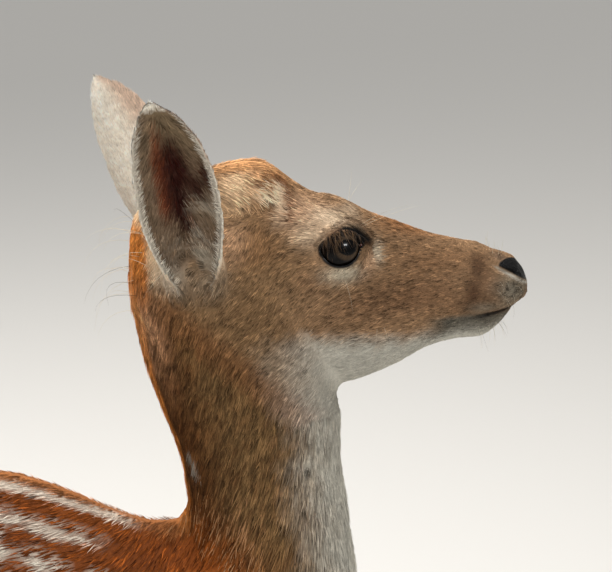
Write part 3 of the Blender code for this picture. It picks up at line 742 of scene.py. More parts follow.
def eye_plane(h, side):
    """Places ahead of, above and out of an eye's middle, in millimetres."""
    rel = h - eye_middle(side)
    return [rel @ axis for axis in eye_axes(side)]


def lid_radius(a, b):
    """How far from the eye's middle the lids' edge is, in the direction of each place."""
    angle = np.degrees(np.arctan2(b, a)) % 360
    table = np.array(LID_OPENING, float)
    at, radius = table[:, 0] % 360, table[:, 1]
    order = np.argsort(at)
    fine = np.interp(np.arange(360), at[order], radius[order], period=360)
    spread = mound((np.arange(-20, 21), 0, 7.0))
    wrapped = np.concatenate([fine[-20:], fine, fine[:20]])
    fine = np.convolve(wrapped, spread / spread.sum(), "valid")
    return np.interp(angle, np.arange(360), fine, period=360)


def lid_height(radius):
    """How far out of the eye's middle the edge of the lids lies on the ball."""
    ball = EYE_RADIUS / MM + 0.9
    on_ball = np.sqrt(ball**2 - np.minimum(radius, CANTHUS_FROM) ** 2)
    return on_ball - CANTHUS_FALL * np.maximum(radius - CANTHUS_FROM, 0)


def near_details(points, level):
    """Where the skin is divided once, and the smaller places where it is divided again."""
    h = in_head(points)
    found = np.zeros(len(h), bool)
    for side in (1, -1):
        a, b, out = eye_plane(h, side)
        rho, rim = np.hypot(a, b), lid_radius(a, b)
        band = rho < DIVIDED_RADIUS if level == 0 else abs(rho - rim) < DIVIDED_BAND
        found |= band & (out > EYE_REACH[0]) & (out < EYE_REACH[1])
    if level == 0:
        share, line = mouth_at(h[:, 0])
        found |= (abs(h[:, 2] - line) < 5) & (share > -0.1)
        found |= (h[:, 0] > 116) & (h[:, 2] > -46)  # the nose
    return found


def shaped_lids(h, side):
    """Draws the skin round an eye up to the lids' edge, over the ball, and creases it."""
    a, b, out = eye_plane(h, side)
    rho = np.hypot(a, b) + 1e-9
    rim = lid_radius(a, b)
    near = (rho < rim + LID_REACH) & (out > EYE_REACH[0]) & (out < EYE_REACH[1])
    snapped = np.where(abs(rho - rim) < 0.3, rim, rho)
    edge = lid_height(rim)
    t = smooth(snapped - rim, 0, LID_BLEND)
    outside = edge * (1 - t) + out * t + LID_ROLL * mound((snapped - rim, 1.6, 1.4))
    for line, depth, width in EYE_CREASES:
        crease = mound((line_distance(a, b, line), 0, width))
        outside -= depth * crease * smooth(snapped - rim, 0, 1.5)
    canthus = mound((np.degrees(np.arctan2(b, a)), 9, 16))
    inside = np.maximum(edge - (3.2 - 2.5 * canthus) * (rim - snapped), -3)
    height = np.where(snapped < rim, inside, outside)
    ahead, up, outward = eye_axes(side)
    stretch = snapped / rho
    moved = eye_middle(side) + (
        (a * stretch)[:, None] * ahead + (b * stretch)[:, None] * up + height[:, None] * outward
    )
    return np.where(near[:, None], moved, h)


def coat_depth(p, h, on_ear):
    """How far the skin lies under the tips of the coat, in millimetres."""
    x, y, z = p.T
    head = smooth(h[:, 0], -130, -60) * smooth(z, 850, 900)
    body = BODY_COAT - LEG_THINNER * smooth(z, 470, 330)
    body = body * smooth(z, 20, 60) + FOOT_COAT * (1 - smooth(z, 20, 60))
    face = FACE_COAT - MUZZLE_THINNER * smooth(h[:, 0], 100, 122)
    depth = body * (1 - head) + face * head
    depth = depth - WITHERS_FILL * mound((x, 203, 12), (z, 759, 10), (y, 0, 18))
    return depth * (1 - on_ear) + EAR_COAT * on_ear


def ear_reader():
    """A search tree over both ears. For each place: share of the length, place across (+1 is the front)
    and whether it is inside."""
    count, across = EAR_READ_GRID
    places, facts = [], []
    share = np.linspace(0, 1, count)
    inner = np.repeat([0.0, 1.0], across)
    for name in EARS:
        loops = ear_loops(name, count, across)
        forward = loops[count // 2, across - 1, 0] > loops[count // 2, 0, 0]
        turn = np.linspace(-1, 1, across) * (1 if forward else -1)
        turn = np.concatenate([turn, turn[::-1]])
        places.append(loops.reshape(-1, 3))
        own = (np.repeat(share, 2 * across), np.tile(turn, count), np.tile(inner, count))
        facts.append(np.column_stack(own))
    return tree_of(np.concatenate(places)), np.concatenate(facts)


def read_ears(points):
    """For each point: how surely it is on an ear, share of its length, place across, inside, nearness."""
    tree, facts = ear_reader()
    result = np.zeros((len(points), 5))
    for i in np.nonzero(points[:, 2] > EARS_ABOVE)[0]:
        _, k, distance = tree.find(points[i])
        if distance < EAR_REACH:
            result[i, 0] = 1 - distance / EAR_REACH
            result[i, 1:4] = facts[k]
    near = np.clip(result[:, 0] * 2.5, 0, 1)
    result[:, 0] = near * smooth(result[:, 1], 0.08, 0.2)
    result[:, 4] = near
    return result


def skin_details(mesh):
    """Sets the skin in by the coat's depth, and shapes lids, mouth and nostrils."""
    points = vertex_points(mesh)
    ears = read_ears(points)
    depth = coat_depth(points / MM, in_head(points), ears[:, 4])
    normals = mesh_normals(mesh)
    points = points - normals * (depth * MM)[:, None]
    h = in_head(points)
    away = in_head(points + normals * MM) - h
    share, line = mouth_at(h[:, 0])
    groove = MOUTH_GROOVE * smooth(share, 0.0, 0.5) * mound((h[:, 2], line, MOUTH_GROOVE_WIDTH))
    x, y, z = (np.column_stack([h[:, 0], abs(h[:, 1]), h[:, 2]]) - NOSTRIL).T
    slant = z + NOSTRIL_SLANT * x
    rx, ry, rz = NOSTRIL_RADII
    pit = NOSTRIL_DEPTH * mound((x, 0, rx), (y, 0, ry), (slant, 0, rz))
    h = h - away * (groove + pit)[:, None]
    h[:, 2] -= NOSE_DROP * smooth(h[:, 0], 104, 122) * smooth(h[:, 2], -34, -22)
    h[:, 0] -= NOSE_BACK * smooth(h[:, 0], 134, 143) * smooth(h[:, 2], -54, -46)
    h[:, 0] -= LIP_BACK * smooth(h[:, 0], 104, 128) * smooth(h[:, 2], line - 0.2, line - 1.8)
    for side in (1, -1):
        on_side = h[:, 1] * side > 8
        h = np.where(on_side[:, None], shaped_lids(h, side), h)
    moved = to_animal(h * MM)
    in_front = in_head(points)[:, 0] > -60
    points = np.where((in_front & (points[:, 2] > 0.85))[:, None], moved, points)
    set_points(mesh, points)
    return ears


# ---------------------------------------------------------------- markings


def tone(red, green, blue):
    """A display colour, 0 to 255, as the linear colour that shaders take."""
    c = np.array([red, green, blue]) / 255
    return np.where(c <= 0.04045, c / 12.92, ((c + 0.055) / 1.055) ** 2.4)


TONES = {
    "rust": tone(140, 74, 27),
    "rust_dark": tone(98, 48, 20),
    "band": tone(152, 98, 58),
    "white": tone(232, 222, 206),
    "fawn": tone(176, 130, 90),
    "taupe": tone(122, 94, 61),
    "neck_rear": tone(92, 60, 33),
    "neck_sheen": tone(226, 172, 130),
    "cream": tone(191, 187, 175),
    "cheek": tone(147, 116, 86),
    "crown": tone(204, 150, 102),
    "forehead": tone(206, 167, 134),
    "brow": tone(212, 188, 160),
    "temple": tone(142, 106, 72),
    "under_eye": tone(196, 184, 162),
    "muzzle": tone(134, 100, 70),
    "bridge": tone(146, 98, 60),
    "muzzle_side": tone(122, 91, 65),
    # painted shade, dark brown: the shaded side of the muzzle, the mouth's corner and the eye's creases
    "painted_shade": tone(70, 46, 29),
    "lip": tone(114, 110, 98),
    # painted shade under the chin
    "chin_shade": tone(90, 88, 79),
    "nose": tone(5, 5, 5),
    # painted shade above the nostril
    "nostril_shade": tone(84, 70, 60),
    "lid": tone(9, 7, 6),
    "nape": tone(200, 124, 60),
    "poll": tone(238, 204, 166),
    "tuft": tone(252, 220, 186),
    "ear_back": tone(250, 240, 224),
    "ear_pink": tone(190, 158, 136),
    "ear_grey": tone(128, 107, 86),
    "ear_fluff": tone(176, 164, 146),
    "ear_top": tone(124, 106, 81),
    "ear_rim": tone(244, 236, 220),
    # the ear's dark inner skin, darkened further as painted shade in the hollow
    "hollow": tone(44, 8, 2),
    "ear_red": tone(122, 62, 34),
    "black": tone(40, 30, 24),
}

UPPER_LID_SHADOW = [(4, 13), (12, 13), (21, 6)]  # painted shadow under the upper lid's fold, at places ahead of and above an eye's middle

# Soft patches of the face: middle in the head's frame, reach along each axis, tone and strength.
FACE_PATCHES = [
    ((-60, 0, 50), (34, 40, 24), "crown", 0.95),
    ((-26, 30, 22), (24, 22, 13), "forehead", 0.9),
    ((-4, 32, 18), (16, 16, 7), "brow", 0.95),
    ((-22, 41, 8), (13, 14, 9), "brow", 0.75),
    ((-20, 45, -25), (13, 12, 7), "muzzle_side", 0.5),
    ((15, 36, -21), (9, 12, 6), "forehead", 0.5),
    ((-64, 42, 6), (25, 18, 18), "temple", 0.95),
    ((-80, 44, 8), (14, 20, 16), "forehead", 0.5),
    ((75, 0, 4), (60, 16, 9), "bridge", 0.85),
    ((22, 30, 13), (9, 10, 7), "brow", 0.75),
    ((78, 22, -18), (42, 16, 14), "muzzle", 0.85),
    ((60, 30, -42), (44, 18, 16), "muzzle_side", 0.9),
    ((20, 42, -46), (30, 20, 12), "muzzle_side", 0.6),
    ((2, 45, -19), (15, 12, 7.2), "under_eye", 0.95),
    ((21, 33, -13), (7, 9, 7), "forehead", 0.6),
    ((30, 27, -9), (4.5, 9, 9), "under_eye", 0.7),
    ((12, 14, 18), (8, 14, 5), "brow", 0.6),
    ((44, 24, 2), (8, 10, 6), "muzzle", 0.6),
    # The darkest brown patches here are painted shade: down the side of the muzzle, by the upper lip and in
    # the mouth's corner.
    ((106, 18, -26), (7, 12, 11), "painted_shade", 0.75),
    ((101, 24, -44), (7, 12, 15), "painted_shade", 0.85),
    ((92, 24, -56), (12, 12, 9), "painted_shade", 0.4),
    ((112, 20, -36), (7, 12, 8), "muzzle_side", 0.7),
    ((122, 0, -14), (10, 14, 5), "muzzle_side", 0.5),
    # Painted shade above the nostril.
    ((124, 12, -19), (8, 9, 5), "nostril_shade", 0.85),
    ((129, 16, -44), (14, 14, 13), "lip", 1.0),
    ((112, 23, -50), (9, 9, 8), "painted_shade", 0.45),
    ((110, 20, -56), (12, 12, 5), "lip", 0.6),
    ((84, 24, -65), (4, 8, 3.5), "painted_shade", 0.7),
]
# Borders of head and neck (in the head's frame) and of neck and trunk: a place in x and z, and the normal.
HEAD_BORDER = ((-33, -117), (0.639, 0.769))
NECK_BORDER = ((211, 764.5), (0.633, 0.774))
FLANK_BELOW_SPINE = 0.78  # how much a step down counts against a step aside, in the arc over the back
# Lines of places in x and z: the pale tuft where a buck's antler would stand, and the painted shadow along
# its edge.
PEDICLE = [(-59, 36), (-46, 37.5), (-39, 36), (-39, 29), (-40, 22), (-42, 14)]
PEDICLE_SHADOW = [(-61, 44), (-47, 44.5), (-35, 42), (-33, 32), (-34.5, 18)]
# The rows of white beside the spine: place across, half width, and where each ends at the withers.
ROW_ARCS = ((20, 4.0, 172), (49, 4.8, 150))
ROW_DRAW = 8.0  # how much nearer the spine they lie at the withers
NAPE_STREAK = [(213, 817), (219, 802)]
NAPE_STRIPE = ([776, 815, 870, 978], [6.0, 7.5, 11.0, 12.0])  # heights, and its width at each
SPOT_CELL = (44.0, 31.0)  # the rows' step along the body and across it
SPOT_DRAWS = 64  # after this many cells the draws repeat
SPOT_SHIFT = (0.22, 0.16)  # how far a spot is off the middle of its cell, as a share of it
SPOT_RADIUS, SPOT_STRETCH = (7.6, 2.2), (1.35, 0.3)  # each with how much it varies
SPOT_MISSING = -0.55  # a spot is left out where its two draws multiply to less
SPOT_START_ARC = 62.0


def past_border(x, z, border):
    (at_x, at_z), (normal_x, normal_z) = border
    return (x - at_x) * normal_x + (z - at_z) * normal_z


class Places:
    """What the markings and the lie of the coat are worked out from, at each point."""

    def __init__(self, points, ears):
        self.p = points / MM
        self.h = in_head(points)
        x, y, z = self.p.T
        self.side = np.where(y > 0, 1.0, -1.0)
        self.head_side = np.where(self.h[:, 1] > 0, 1.0, -1.0)
        self.on_ear, self.ear_share, self.ear_across, self.ear_inner = ears.T[:4]
        rows = np.array(NECK_ROWS, float)[::-1]
        self.front = np.interp(z, rows[:, 0], rows[:, 1])
        self.back = np.interp(z, rows[:, 0], rows[:, 2])
        self.across_neck = (x - self.back) / (self.front - self.back)
        beyond = past_border(self.h[:, 0], self.h[:, 2], HEAD_BORDER)
        self.on_head = smooth(beyond, -14, 16) * (z > 845)
        self.on_neck = smooth(past_border(x, z, NECK_BORDER), -22, 18) * (1 - self.on_head)
        rows = np.array(TRUNK_ROWS, float)[::-1]
        spine = np.interp(x, rows[:, 0], rows[:, 1])
        self.arc = abs(y) + FLANK_BELOW_SPINE * np.maximum(spine - z, 0)
        tail = np.array(TAIL_ROWS, float)
        near = line_distance(x, z, tail[:, [0, 2]].tolist())
        self.on_tail = smooth(near, 24, 14) * (x < -408) * (abs(y) < 31) * (z < 770)
        by_a_leg = smooth(x, 178, 196) + smooth(x, -225, -255)
        self.on_leg = smooth(z, 500, 420) * by_a_leg
        self.bare = np.zeros(len(points))


# The numbers in the functions below are places in millimetres: x ahead, y aside and z up in the animal's
# frame, or in the head's own frame for the head. For the ears they are shares of length and width.


class Paint:
    """Colours at places, laid on tone after tone."""

    def __init__(self, toned, count):
        self.colours = np.repeat(TONES[toned][None], count, axis=0)

    def lay(self, toned, weight):
        self.colours = blended(self.colours, TONES[toned], np.clip(weight, 0, 1))


def blended(under, over, weight):
    return under + (over - under) * weight[:, None]


def spots(u, v, seed):
    """Round, loosely placed spots in rows: 1 in their middles."""
    cell_u, cell_v = SPOT_CELL
    drawn = np.random.default_rng(seed).uniform(-1, 1, (SPOT_DRAWS, SPOT_DRAWS, 4))
    best = np.zeros(len(u))
    row = np.floor(v / cell_v).astype(int)
    for dj in (-1, 0, 1):
        j = row + dj
        offset = np.where(j % 2 == 0, 0.0, 0.5)
        column = np.floor(u / cell_u - offset).astype(int)
        for di in (-1, 0, 1):
            i = column + di
            facts = drawn[i % SPOT_DRAWS, j % SPOT_DRAWS]
            centre_u = (i + 0.5 + offset + SPOT_SHIFT[0] * facts[:, 0]) * cell_u
            centre_v = (j + 0.5 + SPOT_SHIFT[1] * facts[:, 1]) * cell_v
            size = SPOT_RADIUS[0] + SPOT_RADIUS[1] * facts[:, 2]
            stretch = SPOT_STRETCH[0] + SPOT_STRETCH[1] * facts[:, 3]
            gap = np.hypot((u - centre_u) / stretch, v - centre_v)
            present = facts[:, 2] * facts[:, 3] > SPOT_MISSING
            best = np.maximum(best, smooth(gap, size + 1.8, size - 1.8) * present)
    return best


def body_tones(q):
    x, y, z = q.p.T
    rough = noise(q.p, 14, 3) * 5
    fine = noise(q.p, 5, 4)
    coat = Paint("rust", len(x))
    coat.lay("rust_dark", 0.25 + 0.3 * noise(q.p, 45, 5) + 0.15 * fine)
    flank_line = 505 + 0.10 * abs(x) + rough
    coat.lay("fawn", smooth(z, flank_line + 70, flank_line + 10) * 0.85)
    coat.lay("band", smooth(q.arc + rough * 0.3, 17, 10) * 0.9)
    body = (1 - q.on_leg) * (1 - q.on_tail)
    along_body = smooth(x, 196, 170) * smooth(x, -425, -400)
    drawn_in = ROW_DRAW * smooth(x, 100, 165)
    for (arc, half, end), seed in zip(ROW_ARCS, (6, 7)):
        wave = 3.0 * noise(np.column_stack([x, q.side * 40, x * 0]), 46, seed)
        gaps = noise(np.column_stack([x, q.side * 90, x * 0]), 20, seed + 9)
        breaks = smooth(gaps, -0.62, -0.38)
        gap = abs(q.arc - arc + drawn_in - wave + 0.6 * fine) - 1.8 * noise(q.p, 11, seed + 3)
        shown = smooth(gap, half + 2.8, half - 2.4) * breaks * along_body * body
        coat.lay("white", shown * smooth(x, end + 12, end - 12) * 0.82)
    shown = smooth(q.arc, SPOT_START_ARC, SPOT_START_ARC + 4) * smooth(z, 505, 545) * along_body * body
    shown = shown * smooth(x, 215, 175)
    left, right = (spots(x + fine, q.arc + 1.5 * fine, seed) for seed in (11, 12))
    coat.lay("white", np.where(y > 0, left, right) * shown * 0.95)
    low = smooth(z + rough, flank_line + 8, flank_line - 14)
    coat.lay("cream", low * smooth(x, 330, 240) * (1 - q.on_leg) * smooth(x, -330, -250))
    chest = smooth(abs(y) + 1.6 * rough, 52, 20) * smooth(x, 235, 300) * smooth(z, 800, 690)
    coat.lay("cream", chest * 0.7)
    leg_tones(q, coat)
    return coat.colours


def leg_tones(q, coat):
    """The legs' tones, the rump's white patch with its black edge, and the tail's."""
    x, y, z = q.p.T
    y = abs(y)
    inner = smooth(y, 72, 52) * smooth(z, 620, 500) * smooth(z, 40, 120)
    down = smooth(z, 520, 430)
    coat.lay("fawn", down * 0.9)
    coat.lay("rust_dark", down * 0.25 * smooth(noise(q.p, 40, 8), 0, 0.8))
    coat.lay("cream", inner * 0.8)
    coat.lay("taupe", smooth(z, 330, 120) * smooth(z, 10, 40) * 0.5)
    rump = smooth(x, -384, -410) * smooth(y, 62, 50) * smooth(z, 560, 600) * smooth(z, 778, 760)
    edge = smooth(abs(y - 58 + noise(q.p, 12, 9) * 3), 9, 5) * smooth(x, -378, -402)
    edge = edge * smooth(z, 600, 640) * smooth(z, 775, 750)
    coat.lay("white", rump)
    coat.lay("black", 0.75 * edge * (1 - q.on_tail))
    tail_top = q.on_tail * smooth(y, 15, 9)
    behind = smooth(x + 0.18 * (z - 680), -436, -446)
    coat.lay("white", q.on_tail * 0.95)
    coat.lay("black", tail_top * behind * smooth(z, 600, 640) * 0.9)


def neck_tones(q):
    (x, _, z), f = q.p.T, q.across_neck
    rough = noise(q.p, 12, 13) * 0.04
    fine = noise(q.p, 4, 14)
    neck = Paint("taupe", len(x))
    neck.lay("neck_rear", smooth(f + rough, 0.46, 0.14))
    neck.lay("rust_dark", 0.22 * smooth(fine, 0, 0.7))
    low = smooth(z + 40 * f, 800, 745)
    neck.lay("rust", low * smooth(f, 0.75, 0.3) * 0.8)
    streaks = noise(q.p * (1, 1, 0.25), 2.2, 18)
    front = smooth(f + rough * 1.2 + 0.05 * streaks, 0.58, 0.97)
    neck.lay("cream", front * smooth(z, 560, 640))
    neck.lay("neck_rear", np.clip(streaks, 0, 1) * 0.3 * (1 - front))
    from_nape = x - q.back
    stripe = np.interp(z, *NAPE_STRIPE)
    neck.lay("nape", smooth(from_nape + 1.2 * fine, stripe + 1.5, stripe - 2.0))
    neck.lay("black", mound((from_nape - stripe, 3.5, 2.2)) * smooth(z, 975, 940) * 0.2)
    sheen = mound((from_nape - stripe, 6, 11.0), (z, 930, 40))
    neck.lay("neck_sheen", sheen * np.clip(0.75 + 0.6 * streaks, 0, 1))
    streak = mound((line_distance(x, z, NAPE_STREAK), 0, 2.0))
    neck.lay("cream", streak * np.clip(0.5 + 0.7 * streaks, 0, 1))
    return neck.colours


def head_tones(q):
    x, y, z = q.h.T
    y = abs(y)
    rough = noise(q.p, 9, 15)
    fine = noise(q.p, 3, 16)
    head = Paint("cheek", len(x))
    head.lay("taupe", smooth(x, -10, -60) * 0.6)
    for (cx, cy, cz), (rx, ry, rz), toned, strength in FACE_PATCHES:
        gap = ((x - cx) / rx) ** 2 + ((y - cy) / ry) ** 2 + ((z - cz) / rz) ** 2
        head.lay(toned, strength * np.exp(-(gap**1.3) * (1 + 0.25 * rough)))
    jaw_line = -60 - 10 * smooth(x, -30, 40) + 3 * rough + 1.5 * fine
    head.lay("cream", smooth(z, jaw_line + 5, jaw_line - 13) * smooth(x + 5 * rough, -74, 4))
    # Painted shade under the chin.
    head.lay("chin_shade", smooth(z, -58, -64) * smooth(x, 58, 84) * 0.9)
    head.lay("cream", smooth(y, 22, 12) * smooth(z, -62, -82))
    aside = smooth(y, 8, 14)
    tuft = smooth(line_distance(x, z, PEDICLE) + 1.5 * fine, 6.0, 2.0)
    head.lay("tuft", tuft * aside * smooth(z, 6, 32))
    # Painted shadow along the pale tuft's edge.
    edge = smooth(line_distance(x, z, PEDICLE_SHADOW) + 1.2 * fine, 4.0, 0.8)
    head.lay("rust_dark", edge * aside * 0.6)
    head.lay("poll", smooth(x, -104, -128) * smooth(z, -34, -10) * 0.9)
    beside_ear = mound((x, -77, 15), (z, 43, 15)) * smooth(y, 8, 18)
    head.lay("poll", beside_ear * 0.85)
    mid_nape = smooth(x + 2 * rough, -132, -138) * smooth(z, 24, 8)
    head.lay("nape", mid_nape)
    white_behind = mound((x, -124, 10), (y, 50, 16), (z, -12, 14))
    head.lay("cream", white_behind * 0.95)
    grey = mound((x, -96, 16), (z, -20, 14)) * smooth(y, 26, 36)
    head.lay("ear_fluff", grey * (0.35 + 0.2 * fine))
    for side in (1, -1):
        a, b, out = eye_plane(q.h, side)
        rho, rim = np.hypot(a, b), lid_radius(a, b)
        near = (out > -16) & (rho < 45)
        # The lids' own black edge, and painted shadow under the upper lid's fold.
        lid_fold_shadow = mound((line_distance(a, b, UPPER_LID_SHADOW), 0, 4.2))
        dark = smooth(rho - rim + 0.5 * fine, 2.4, 0.5) + lid_fold_shadow
        head.lay("lid", dark * near)
        # Painted shade along the creases beside the eye.
        for line, depth, width in EYE_CREASES:
            crease = smooth(line_distance(a, b, line), width * 1.5, width * 0.4)
            head.lay("painted_shade", crease * min(1, depth) * 0.55 * near)
    nose_tones(q, head, y, fine)
    return head.colours


def nose_tones(q, head, y, fine):
    """The bare nose with its pale edge, the pores of the muzzle and the painted shade along the mouth's
    line.
    """
    x, _, z = q.h.T
    edge_line = -25.4 - 0.56 * (x - 118)
    head.lay("cream", mound((z - edge_line, -1.7, 1.0)) * smooth(x, 115, 120) * 0.75)
    pores = smooth(noise(q.p, 2.1, 19), 0.24, 0.38) * smooth(x, 116, 123) * smooth(z, -58, -52)
    head.lay("black", pores * smooth(z, -33, -38) * 0.8)
    hair_edge = 116.5 + 22.0 * np.clip(1 - y / 19, 0, 1) + 0.5 * fine
    black = smooth(z, edge_line - 0.5, edge_line + 0.7) * smooth(x, hair_edge - 0.6, hair_edge + 0.8)
    q.bare = np.clip(black, 0, 1) * q.on_head
    head.lay("nose", q.bare)
    share, line = mouth_at(x)
    gape = 1.1 + 0.9 * smooth(share, 0.1, 0.5)
    # Painted shade in the gap between the lips.
    mouth = mound((z - line, -0.4, gape)) * smooth(share, 0.12, 0.5)
    head.lay("nose", mouth * 0.9)


# Inside an ear: middle as share of its length and place across, reach in both, tone and strength. The hollow
# patches are its dark inner skin, darkened further as painted shade.
EAR_PATCHES = [
    (0.85, 0.05, 0.18, 0.80, "ear_top", 0.9),
    (0.68, -0.30, 0.19, 0.22, "ear_red", 0.9),
    (0.50, -0.34, 0.10, 0.16, "ear_red", 0.85),
    (0.67, 0.08, 0.18, 0.42, "hollow", 1.0),
    (0.49, -0.04, 0.16, 0.30, "hollow", 1.0),
    (0.63, 0.78, 0.07, 0.16, "hollow", 0.9),
    (0.56, 0.48, 0.07, 0.24, "hollow", 0.9),
    (0.37, 0.03, 0.10, 0.16, "hollow", 0.9),
    (0.34, 0.22, 0.04, 0.10, "ear_red", 0.55),
    (0.26, 0.42, 0.03, 0.08, "ear_red", 0.5),
]


def ear_tones(q):
    s, across = q.ear_share, q.ear_across
    fine = noise(q.p, 3, 17)
    outer = Paint("ear_back", len(s))
    outer.lay("ear_pink", smooth(s, 0.55, 0.8) * smooth(across, -0.3, 0.5) * 0.8)
    outer.lay("poll", smooth(s, 0.35, 0.1) * 0.8)
    inner = Paint("ear_grey", len(s))
    inner.lay("ear_fluff", smooth(s, 0.34, 0.16) * smooth(across, -0.1, 0.4) * 0.5)
    for cs, ca, rs, ra, toned, strength in EAR_PATCHES:
        gap = ((s - cs) / rs) ** 2 + ((across - ca) / ra) ** 2
        inner.lay(toned, strength * np.exp(-(gap**1.6)) * (1 + 0.12 * fine))
    wisps = noise(np.column_stack([s * 150, across * 9, across * 0]), 2.6, 24)
    crossing = smooth(across, -0.05, 0.35) * smooth(s, 0.56, 0.46) + smooth(s, 0.36, 0.28) * 0.6
    inner.lay("ear_fluff", crossing * np.clip(0.15 + 1.2 * wisps, 0, 0.7))
    inner.lay("ear_rim", smooth(abs(across), 0.84, 0.97) * 0.75 + smooth(s, 0.95, 0.985))
    return np.where(q.ear_inner[:, None] > 0.5, inner.colours, outer.colours)


def markings(q):
    """The colour of skin and coat at each place. It also sets how bare the skin is there."""
    colours = body_tones(q)
    colours = blended(colours, neck_tones(q), q.on_neck)
    colours = blended(colours, head_tones(q), q.on_head)
    return blended(colours, ear_tones(q), q.on_ear)


# ---------------------------------------------------------------- camera, floor and lights

CAMERA_PLACE = (0.29723952, -1.58749373, 1.35896919)
CAMERA_DIP = math.radians(15.0)
SENSOR_WIDTH = 36.0
FOCAL_LENGTH = 2291.6666 * SENSOR_WIDTH / 612
FLOOR_HALF = 20
FLOOR_DROP = 0.0005
LIGHT_AIM = (0.2, 0, 0.85)
# Each lamp: place, size, power and colour.
LAMPS = [
    ("key", (-0.9, 1.7, 3.2), (1.3, 1.3), 120, (1.0, 0.97, 0.93)),
    ("top", (0.1, 0.1, 3.6), (2.4, 2.0), 40, (1.0, 0.99, 0.97)),
    ("fill", (0.9, -3.4, 2.2), (2.8, 2.2), 43, (1.0, 0.98, 0.95)),
    ("glint", (1.75, -2.4, 2.8), (1.1, 0.55), 110, (1.0, 1.0, 1.0)),
]
SKY_POWER, SKY_SPREAD = 1.0, 70
BACKGROUND, BACKGROUND_STRENGTH = (0.83, 0.81, 0.77, 1), 0.38


def shift_of_the_model():
    """From the tables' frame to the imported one, read off the right eye."""
    low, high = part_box("eye_right")
    eye = head_matrix() @ Vector((EYE_CENTRE.x, -EYE_CENTRE.y, EYE_CENTRE.z))
    return (low + high) / 2 - eye


def add_camera(shift):
    data = bpy.data.cameras.new("camera")
    data.sensor_width = SENSOR_WIDTH
    data.lens = FOCAL_LENGTH
    data.clip_end = 100
    camera = new_object("camera", data)
    camera.location = Vector(CAMERA_PLACE) + shift
    camera.rotation_euler = (math.pi / 2 - CAMERA_DIP, 0, 0)
    bpy.context.scene.camera = camera


def add_light(name, place, aim, size, power, warmth, glossy=False):
    """A soft panel lamp. A glossy one shows only in reflections, the others only in diffuse light."""
    data = bpy.data.lights.new(name, "AREA")
    data.shape = "RECTANGLE"
    data.size, data.size_y = size
    data.energy = power
    data.color = warmth
    light = new_object(name, data)
    light.location = place
    light.visible_glossy = glossy
    light.visible_diffuse = not glossy
    light.rotation_euler = (Vector(aim) - Vector(place)).to_track_quat("-Z", "Y").to_euler()


def add_stage(shift):
    bm = bmesh.new()
    bmesh.ops.create_grid(bm, x_segments=1, y_segments=1, size=FLOOR_HALF)
    floor = new_object("floor", mesh_of(bm, "floor"))
    floor.location.z = cad_box[0][2] - FLOOR_DROP
    floor.data.materials.append(floor_material())
    aim = Vector(LIGHT_AIM) + shift
    for name, place, size, power, warmth in LAMPS:
        add_light(name, place, aim, size, power, warmth, name == "glint")
    data = bpy.data.lights.new("sky", "SUN")
    data.energy = SKY_POWER
    data.angle = math.radians(SKY_SPREAD)
    sky = new_object("sky", data)
    sky.rotation_euler = (math.radians(-14), math.radians(6), 0)
    world = bpy.data.worlds.new("world")
    world.use_nodes = True
    background = world.node_tree.nodes["Background"]
    background.inputs["Color"].default_value = BACKGROUND
    background.inputs["Strength"].default_value = BACKGROUND_STRENGTH
    bpy.context.scene.world = world
    bpy.context.scene.view_settings.view_transform = "Standard"


# ---------------------------------------------------------------- materials


class Shader:
    """A material under construction, with short calls for its nodes."""

    def __init__(self, name, **sockets):
        self.material = bpy.data.materials.new(name)
        self.material.use_nodes = True
        self.tree = self.material.node_tree
        self.surface = self.tree.nodes["Principled BSDF"]
        for socket, value in sockets.items():
            self.surface.inputs[socket.replace("_", " ")].default_value = value

    def node(self, kind, **values):
        """A new node. Values named with a capital are its inputs, the others its properties."""
        made = self.tree.nodes.new("ShaderNode" + kind)
        for key, value in values.items():
            if key[0] == key[0].upper():
                made.inputs[key.replace("_", " ")].default_value = value
            else:
                setattr(made, key, value)
        return made

    def link(self, source, output, target, socket):
        self.tree.links.new(source.outputs[output], target.inputs[socket])

    def noise(self, scale, detail, stretch=(1, 1, 1)):
        place = self.node("TexCoord")
        mapping = self.node("Mapping", Scale=stretch)
        made = self.node("TexNoise", Scale=scale, Detail=detail)
        self.link(place, "Object", mapping, "Vector")
        self.link(mapping, "Vector", made, "Vector")
        return made

    def bump(self, height, output, strength, distance):
        made = self.node("Bump", Strength=strength, Distance=distance)
        self.link(height, output, made, "Height")
        self.link(made, "Normal", self.surface, "Normal")

    def shaded(self, colour, output, varied, low, high):
        """The colour made darker and lighter by a noise, from low to high."""
        ranged = self.node("MapRange", From_Min=0.3, From_Max=0.7, To_Min=low, To_Max=high)
        self.link(varied, "Fac", ranged, "Value")
        scaled = self.node("VectorMath", operation="SCALE")
        self.link(colour, output, scaled, 0)
        self.link(ranged, "Result", scaled, "Scale")
        self.link(scaled, "Vector", self.surface, "Base Color")

    def painted(self, varied, low, high):
        """The mesh's own colour, made darker and lighter by a noise."""
        colour = self.node("Attribute", attribute_name="coat_colour")
        self.shaded(colour, "Color", varied, low, high)


def floor_material():
    made = Shader("floor_pale", Roughness=0.65, Base_Color=(0.62, 0.61, 0.59, 1))
    grain = made.noise(60, 4)
    made.bump(grain, "Fac", 0.12, 0.001)
    return made.material


